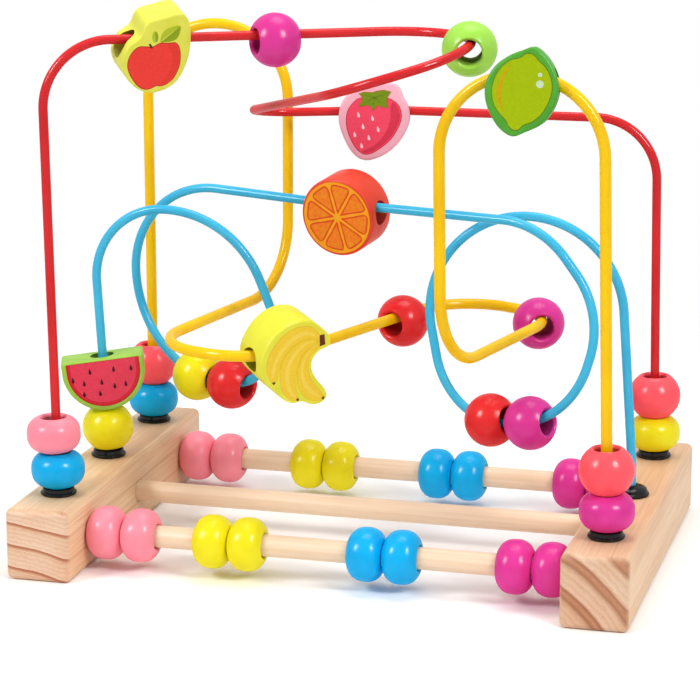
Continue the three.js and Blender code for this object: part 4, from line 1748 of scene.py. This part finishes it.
@dataclass(kw_only=True)
class Banana(WireFruit):
    """Lemon plate printed with a hand of three bananas."""

    node: str = "banana"
    paint: Lacquer = Lacquer("lemon satin paint", "#E8E644", "#E0DC3A", roughness=0.3)
    wire: str = "yellow"
    at: At = At(0.755, bend=5)
    bore_length: float = 32
    turns: Turns = Turns(lean=13)
    print_edge: float = 0.22
    outline_steps: int = 4
    outline: tuple[Point2, ...] = (
        (2.5, 20.6), (9, 19.6), (15, 15.8), (20, 10.9), (20.6, 6.2), (15.4, 4), (12.6, 0.3),
        (12.8, -4.2), (16, -9.8), (21.2, -15.4), (22.9, -19.3), (20.4, -22.2), (15.5, -22.6),
        (9.7, -20.2), (5.2, -20.4), (0.2, -18.2), (-5.5, -12.8), (-13, -5.2), (-15, 1.2), (-13.6, 8),
        (-9.8, 14.4), (-4.2, 18.9),
    )
    outer: tuple[Point2, ...] = (
        (14, 12.2), (9.3, 16.6), (4.7, 17.7), (0.2, 17.2), (-4.4, 15), (-8, 11.3), (-10.7, 6.5),
        (-11.6, 2.5), (-11.2, -2.1), (-9.4, -5.7), (-7.4, -8.3), (-5.6, -6.8), (-5, -2.2), (-4.2, 2),
        (-1, 7.2), (4, 10.6), (9, 11.2), (14, 10.4),
    )
    middle: tuple[Point2, ...] = (
        (14.4, 10.4), (9, 10.9), (4.2, 10), (-0.6, 6.6), (-3.7, 2), (-4.2, -2), (-3.7, -6.2),
        (-2.4, -11.6), (1.1, -16.4), (4.5, -18.5), (7, -18.4), (5.6, -14.4), (4.6, -8.9), (4.4, -3.5),
        (5.4, 1.8), (8.4, 6.2), (14, 9),
    )
    inner: tuple[Point2, ...] = (
        (14.6, 8.9), (9, 6.2), (6, 2), (4.9, -2.6), (5.3, -7), (6.4, -11.6), (9.4, -16.2), (13.8, -19.7),
        (18.2, -20.6), (20.6, -19.4), (18.2, -15.9), (13.7, -10.9), (11.1, -6.2), (10.3, -0.9),
        (11.2, 3.2), (14.6, 6.4),
    )
    stripes: tuple[tuple[Point2, ...], ...] = (
        ((12.8, 11.8), (7, 13.2), (1.4, 11.6), (-3.4, 7.4), (-6.6, 1.6), (-7.4, -4.4), (-8.6, -5),
         (-8.4, 1.8), (-5.2, 8.6), (0.2, 13.6), (7, 15.2)),
        ((13, 9.7), (7.6, 8.4), (2.6, 3.8), (0.6, -2), (1, -8), (3.4, -13.6), (5.6, -17), (3.8, -16.4),
         (0.4, -12), (-1.6, -6), (-1.2, 0), (1.6, 5.4), (7, 9.6)),
        ((13.6, 7.6), (9.4, 4), (7.8, -1.2), (8.4, -6.6), (11.4, -11.8), (18.8, -18.6), (14.6, -17.2),
         (9.6, -12.6), (6.9, -7), (6.5, -1.4), (8.2, 3.6)),
    )
    tips: tuple[tuple[Point2, ...], ...] = (
        ((-7.9, -7.9), (-6.4, -7.5), (-6.2, -8.5), (-7.2, -9)),
        ((6, -18.1), (7, -17.5), (7.6, -18.7), (6.7, -19.2)),
        ((19.6, -19.9), (20.4, -18.7), (21.2, -19.4), (20.7, -20.5)),
    )
    stem: tuple[Point2, ...] = ((14.2, 12.2), (16.6, 12.4), (17.8, 7.4), (15, 6.8))

    def layers(self) -> list[Layer]:
        """Returns: the three bananas with their edges, light stripes, tips and stem."""
        bunch = [curved(fruit, PRINT_STEPS) for fruit in (self.outer, self.middle, self.inner)]
        return [
            Layer("banana_edge_print", PrintInk("banana edge ink", "#EAC034", "#E4B82C"),
                  [grown(fruit, self.print_edge) for fruit in bunch]),
            Layer("banana_print", PrintInk("banana yellow ink", "#F5D13C", "#EFC832"), bunch, 2),
            Layer("banana_light_print", PrintInk("banana light ink", "#F7DA58", "#F3D24E"),
                  [curved(stripe, PRINT_STEPS) for stripe in self.stripes], 3),
            Layer("banana_tip_print", PrintInk("banana tip ink", "#6A3C1C", "#5C3214"),
                  [list(end) for end in (*self.tips, self.stem)], 4),
        ]


@dataclass(kw_only=True)
class Lime(WireFruit):
    """Green plate printed with a lime, an amber crescent and two pale dots."""

    node: str = "lime"
    paint: Lacquer = Lacquer("green satin paint", "#52A634", "#48982A", roughness=0.3)
    wire: str = "yellow"
    at: At = At(1, bend=9)
    bore_length: float = 30
    below: float = 0.7
    turns: Turns = Turns(yaw=7.5, lean=-7)
    outline_steps: int = 5
    outline: tuple[Point2, ...] = (
        (-1.8, -22.8), (3.5, -20.8), (10.6, -16.8), (14.9, -9.8), (16.4, -2), (14.4, 5.2), (10, 11.4),
        (5.2, 14.6), (1, 13.2), (-4.5, 10.8), (-10.5, 6), (-14, -1), (-13.9, -7.9), (-11.2, -14.6),
        (-6.9, -20.2),
    )
    flesh: tuple[Point2, ...] = (
        (0.2, 9.9), (2, 11.4), (4.3, 11.6), (6.1, 10.5), (7.5, 8.9), (10.2, 6.6), (12.2, 3.5),
        (13.4, -0.2), (13.4, -4.3), (12, -8.8), (9.3, -13.4), (5.6, -16.5), (2.5, -17.7), (0.6, -19.7),
        (-1.4, -20), (-3.5, -18.4), (-4.6, -16.3), (-7.5, -13.4), (-9.8, -10.2), (-11, -6.1), (-11, -2),
        (-9.6, 2.5), (-7.1, 6.2), (-3.9, 8.7),
    )
    crescent: tuple[Point2, ...] = (
        (-3.5, 6.9), (-6.2, 3.9), (-8.2, -0.2), (-9.1, -4.7), (-8.2, -8.8), (-6, -12.9), (-7.1, -9.3),
        (-7.5, -4.7), (-7, -0.2), (-5.3, 3.9),
    )
    dots: tuple[tuple[Point2, float], ...] = (((8.5, 3.2), 0.9), ((8.6, -0.7), 1.6))

    def layers(self) -> list[Layer]:
        """Returns: the lime with its edge, the crescent and the dots."""
        flesh = curved(self.flesh, PRINT_STEPS)
        return [
            Layer("lime_edge_print", PrintInk("dark lime edge ink", "#5E8014", "#54740E"),
                  [grown(flesh, self.print_edge)]),
            Layer("lime_print", PrintInk("lime ink", "#A6BC00", "#9EB400"), [flesh], 2),
            Layer("crescent_print", PrintInk("amber ink", "#D6A006", "#CC9400"),
                  [curved(self.crescent, PRINT_STEPS)], 3),
            Layer("dot_print", PrintInk("pale dot ink", "#CCE0BC", "#C0D6B0"),
                  [disc(*dot) for dot in self.dots], 3),
        ]


@dataclass(kw_only=True)
class Orange(WireFruit):
    """Vermilion disc printed with an orange slice of eight segments."""

    node: str = "orange"
    paint: Lacquer = Lacquer("vermilion satin paint", "#EE4A34", "#E6402A", roughness=0.3)
    wire: str = "blue"
    at: At = At(0.188, run=7)
    bore_length: float = 36.5
    below: float = 0.9
    turns: Turns = Turns(yaw=5, lean=7)
    print_edge: float = 0.3
    outline_steps: int = 96
    slice_radius: float = 16.9
    slice_steps: int = 64
    slice_heart: Point2 = (0.3, 0.1)
    heart_radius: float = 0.9
    segments: int = 8
    first_spoke: float = 12.5
    # Start of a segment's sides, its outer radius and the spoke beside it
    segment_sizes: tuple[float, float, float] = (1.7, 15.6, 1.3)
    pulp_sizes: tuple[float, float, float] = (3.2, 14.8, 2.7)

    def shape(self) -> Outline:
        """Returns: a disc as wide as its bore is long."""
        return disc((0, 0), self.bore_length / 2, self.outline_steps)

    def layers(self) -> list[Layer]:
        """Returns: the slice with its edge, the segments with their edges and the heart."""
        step = 360 / self.segments
        aims = [self.first_spoke + step * (i + 0.5) for i in range(self.segments)]
        edges, pulp = (
            [segment(self.slice_heart, aim, step / 2, *sizes) for aim in aims]
            for sizes in (self.segment_sizes, self.pulp_sizes)
        )
        return [
            Layer("slice_edge_print", PrintInk("slice edge ink", "#E4561A", "#DA4C12"),
                  [disc((0, 0), self.slice_radius + self.print_edge, self.slice_steps)]),
            Layer("slice_print", PrintInk("pith yellow ink", "#FCAE20", "#F8A414"),
                  [disc((0, 0), self.slice_radius, self.slice_steps)], 2),
            Layer("segment_edge_print", PrintInk("segment edge ink", "#E8541C", "#DE4812"), edges, 3),
            Layer("segment_print", PrintInk("orange pulp ink", "#F4741E", "#F2A01C", turn=0.54, speck=1.5),
                  pulp, 4),
            Layer("slice_heart_print", PrintInk("heart ink", "#F6BC30", "#F0AE20"),
                  [disc(self.slice_heart, self.heart_radius)], 4),
        ]


@dataclass(kw_only=True)
class Watermelon(Fruit):
    """Half slice of watermelon on the left middle stack, bored upright."""

    stacks: Stacks
    node: str = "watermelon"
    paint: Lacquer = Lacquer("rind green satin paint", "#9CC84C", "#90BC3E", roughness=0.3)
    bore_axis: str = "Z"
    width: float = 39
    height: float = 25
    heading: float = 20
    roll: float = 3.5
    rind: float = 2.2
    arc_steps: int = 40
    # Each red's distance from the rind and from the top
    edge_inset: Point2 = (0, 0.8)
    rim_inset: Point2 = (0.5, 1)
    flesh_inset: Point2 = (1.9, 1)
    seed_width: float = 1.5
    seed_height: float = 3
    seeds: tuple[Point2, ...] = (
        (-14.8, -2.9), (-6.4, 0.3), (4.8, 0.2), (13, -0.2), (-9.8, -5), (-1.5, -5.3), (4.3, -7.9),
        (9.6, -7.5), (-10.4, -10.2), (-2.9, -10.6),
    )

    def half_slice(self, inset: float, lowering: float) -> Outline:
        """Draws a half disc with a straight rise above it.

        Args:
            inset: how far the arc is inside the plate's own.
            lowering: how far the flat top is below the plate's own.

        Returns: the outline.
        """
        radius = self.width / 2 - inset
        top = self.height - self.width / 2 - lowering
        turns = [math.pi * (1 + i / self.arc_steps) for i in range(self.arc_steps + 1)]
        arc = [(radius * math.cos(a), radius * math.sin(a)) for a in turns]
        return [*arc, (radius, top), (-radius, top)]

    def shape(self) -> Outline:
        """Returns: the whole half slice."""
        return self.half_slice(0, 0)

    def layers(self) -> list[Layer]:
        """Returns: the flesh in three reds, from its edge inwards, and the seeds."""
        edge, rim, flesh = (
            [self.half_slice(self.rind + inset, lowering)]
            for inset, lowering in (self.edge_inset, self.rim_inset, self.flesh_inset)
        )
        seeds = [drop(seed, self.seed_width, self.seed_height) for seed in self.seeds]
        return [
            Layer("melon_edge_print", PrintInk("melon edge ink", "#B81C1E", "#AC1418"), edge),
            Layer("melon_rim_print", PrintInk("melon rim ink", "#D62A3A", "#CC2232"), rim, 2),
            Layer("melon_print", PrintInk("melon red ink", "#E2425A", "#DA3850"), flesh, 3),
            Layer("melon_seed_print", PrintInk("dark seed ink", "#4C121A", "#400C14"), seeds, 4),
        ]

    def place(self) -> Matrix:
        """Returns: where the slice stands, on the bead below it."""
        foot = self.stacks.foot(Side.LEFT, Row.MIDDLE)
        point = foot.point + foot.tangent * (BeadForm.ROUND.thickness + GAP + self.width / 2)
        heading = math.radians(self.heading)
        ahead = Vector((math.cos(heading), math.sin(heading), 0))
        back = foot.tangent.cross(ahead).normalized()
        axes = Matrix((back.cross(foot.tangent), back, foot.tangent)).transposed()
        return self.catalogue.put(point, axes @ Turns(roll=self.roll).matrix())


# Studio


@dataclass(frozen=True)
class Lamp:
    """A square soft lamp that faces the toy, in metres and watts; a glint shows in highlights alone."""

    name: str
    place: tuple[float, float, float]
    size: float
    power: float
    glint: bool = False

    def add(self, aim: Vector) -> None:
        """Puts the lamp into the scene.

        Args:
            aim: what it faces.
        """
        data = bpy.data.lights.new(self.name, "AREA")
        data.shape = "SQUARE"
        data.size = self.size
        data.energy = self.power
        obj = bpy.data.objects.new(self.name, data)
        bpy.context.scene.collection.objects.link(obj)
        obj.location = self.place
        obj.rotation_euler = (aim - Vector(self.place)).to_track_quat("-Z", "Y").to_euler()
        obj.visible_diffuse = not self.glint


@dataclass
class Studio:
    """Pale floor, soft lamps and the camera at the photo's view."""

    catalogue: Catalogue
    focal: float = 138.1
    sensor: float = 36
    eye: tuple[float, float, float] = (307.8, -1163.6, 386.8)
    yaw: float = 15.11
    pitch: float = 13.73
    ambient: float = 0.42
    floor_radius: float = 0.7
    floor_fade: Point2 = (0.24, 0.6)
    lamp_aim: tuple[float, float, float] = (0, 0, 0.12)
    lamps: tuple[Lamp, ...] = (
        Lamp("left softbox", (-0.95, -1.0, 1.15), 0.45, 11.5),
        Lamp("right softbox", (1.05, -0.75, 1.15), 0.45, 11),
        Lamp("left glint", (-0.95, -1.0, 0.87), 0.45, 13, glint=True),
        Lamp("right glint", (1.05, -0.75, 0.87), 0.45, 13, glint=True),
        Lamp("top softbox", (0.05, 0.25, 1.7), 0.9, 12.5),
    )

    def camera(self) -> None:
        """Sets the camera: a long lens from the right, a little above."""
        data = bpy.data.cameras.new("photo_camera")
        data.lens = self.focal
        data.sensor_width = self.sensor
        data.dof.use_dof = False
        obj = bpy.data.objects.new("photo_camera", data)
        bpy.context.scene.collection.objects.link(obj)
        obj.location = self.catalogue.shift @ (Vector(self.eye) * MM)
        obj.rotation_euler = (math.radians(90 - self.pitch), 0, math.radians(self.yaw))
        bpy.context.scene.camera = obj

    def floor(self) -> None:
        """Lays a pale disc that keeps the shadow and fades out into the white background."""
        bpy.ops.object.select_all(action="DESELECT")
        bpy.ops.mesh.primitive_circle_add(vertices=96, radius=self.floor_radius, fill_type="NGON")
        obj = bpy.context.object
        obj.name = "floor"
        material = bpy.data.materials.new("pale studio floor")
        material.use_nodes = True
        tree = material.node_tree
        place = add_node(tree, "ShaderNodeTexCoord", "Object", {})
        reach = add_node(tree, "ShaderNodeVectorMath", "Value", {"operation": "LENGTH", 0: place})
        start, end = self.floor_fade
        solid = add_node(tree, "ShaderNodeMapRange", "Result",
                         {"interpolation_type": "SMOOTHSTEP", "From Min": start, "From Max": end,
                          "To Min": 1.0, "To Max": 0.0, "Value": reach})
        pale = {"Base Color": linear("#FBFBFB"), "Roughness": 0.9, "Alpha": solid}
        fill(tree.nodes["Principled BSDF"], pale)
        obj.data.materials.append(material)

    def world(self) -> None:
        """Fills the room with even light and shows white behind the toy."""
        world = bpy.data.worlds.new("white room")
        bpy.context.scene.world = world
        world.use_nodes = True
        tree = world.node_tree
        seen = add_node(tree, "ShaderNodeLightPath", "Is Camera Ray", {})
        rays = seen.node.outputs
        for ray in ("Is Glossy Ray", "Is Transmission Ray"):
            seen = add_node(tree, "ShaderNodeMath", "Value", {"operation": "MAXIMUM", 0: seen, 1: rays[ray]})
        level = add_node(tree, "ShaderNodeMapRange", "Result",
                         {"To Min": self.ambient, "To Max": 1.0, "Value": seen})
        fill(tree.nodes["Background"], {"Color": (1, 1, 1, 1), "Strength": level})

    def build(self) -> None:
        """Sets up the whole studio."""
        self.camera()
        self.floor()
        self.world()
        for lamp in self.lamps:
            lamp.add(Vector(self.lamp_aim))
        bpy.context.scene.view_settings.view_transform = "Standard"


def main() -> None:
    """Builds the toy piece by piece, then the studio."""
    logging.basicConfig(level=logging.INFO, format="%(name)s: %(message)s")
    catalogue = Catalogue()
    base = Base(catalogue)
    wires = Wires(catalogue, base)
    for side in Side:
        base.block(side, wires.in_sockets(side))
    base.rods()
    for name in PAINTS:
        wires.tube(name)
    wires.ferrules()
    beads = BeadMaker(catalogue)
    abacus = Abacus(beads, base)
    abacus.build(Row.FRONT)
    abacus.build(Row.REAR)
    stacks = Stacks(beads, base, wires)
    stacks.build()
    WireBeads(beads, wires).build()
    beads.put_away()
    for kind in (Apple, Strawberry, Banana, Lime, Orange):
        kind(catalogue=catalogue, wires=wires).build()
    Watermelon(catalogue=catalogue, stacks=stacks).build()
    Studio(catalogue).build()


if __name__ == "__main__":
    main()
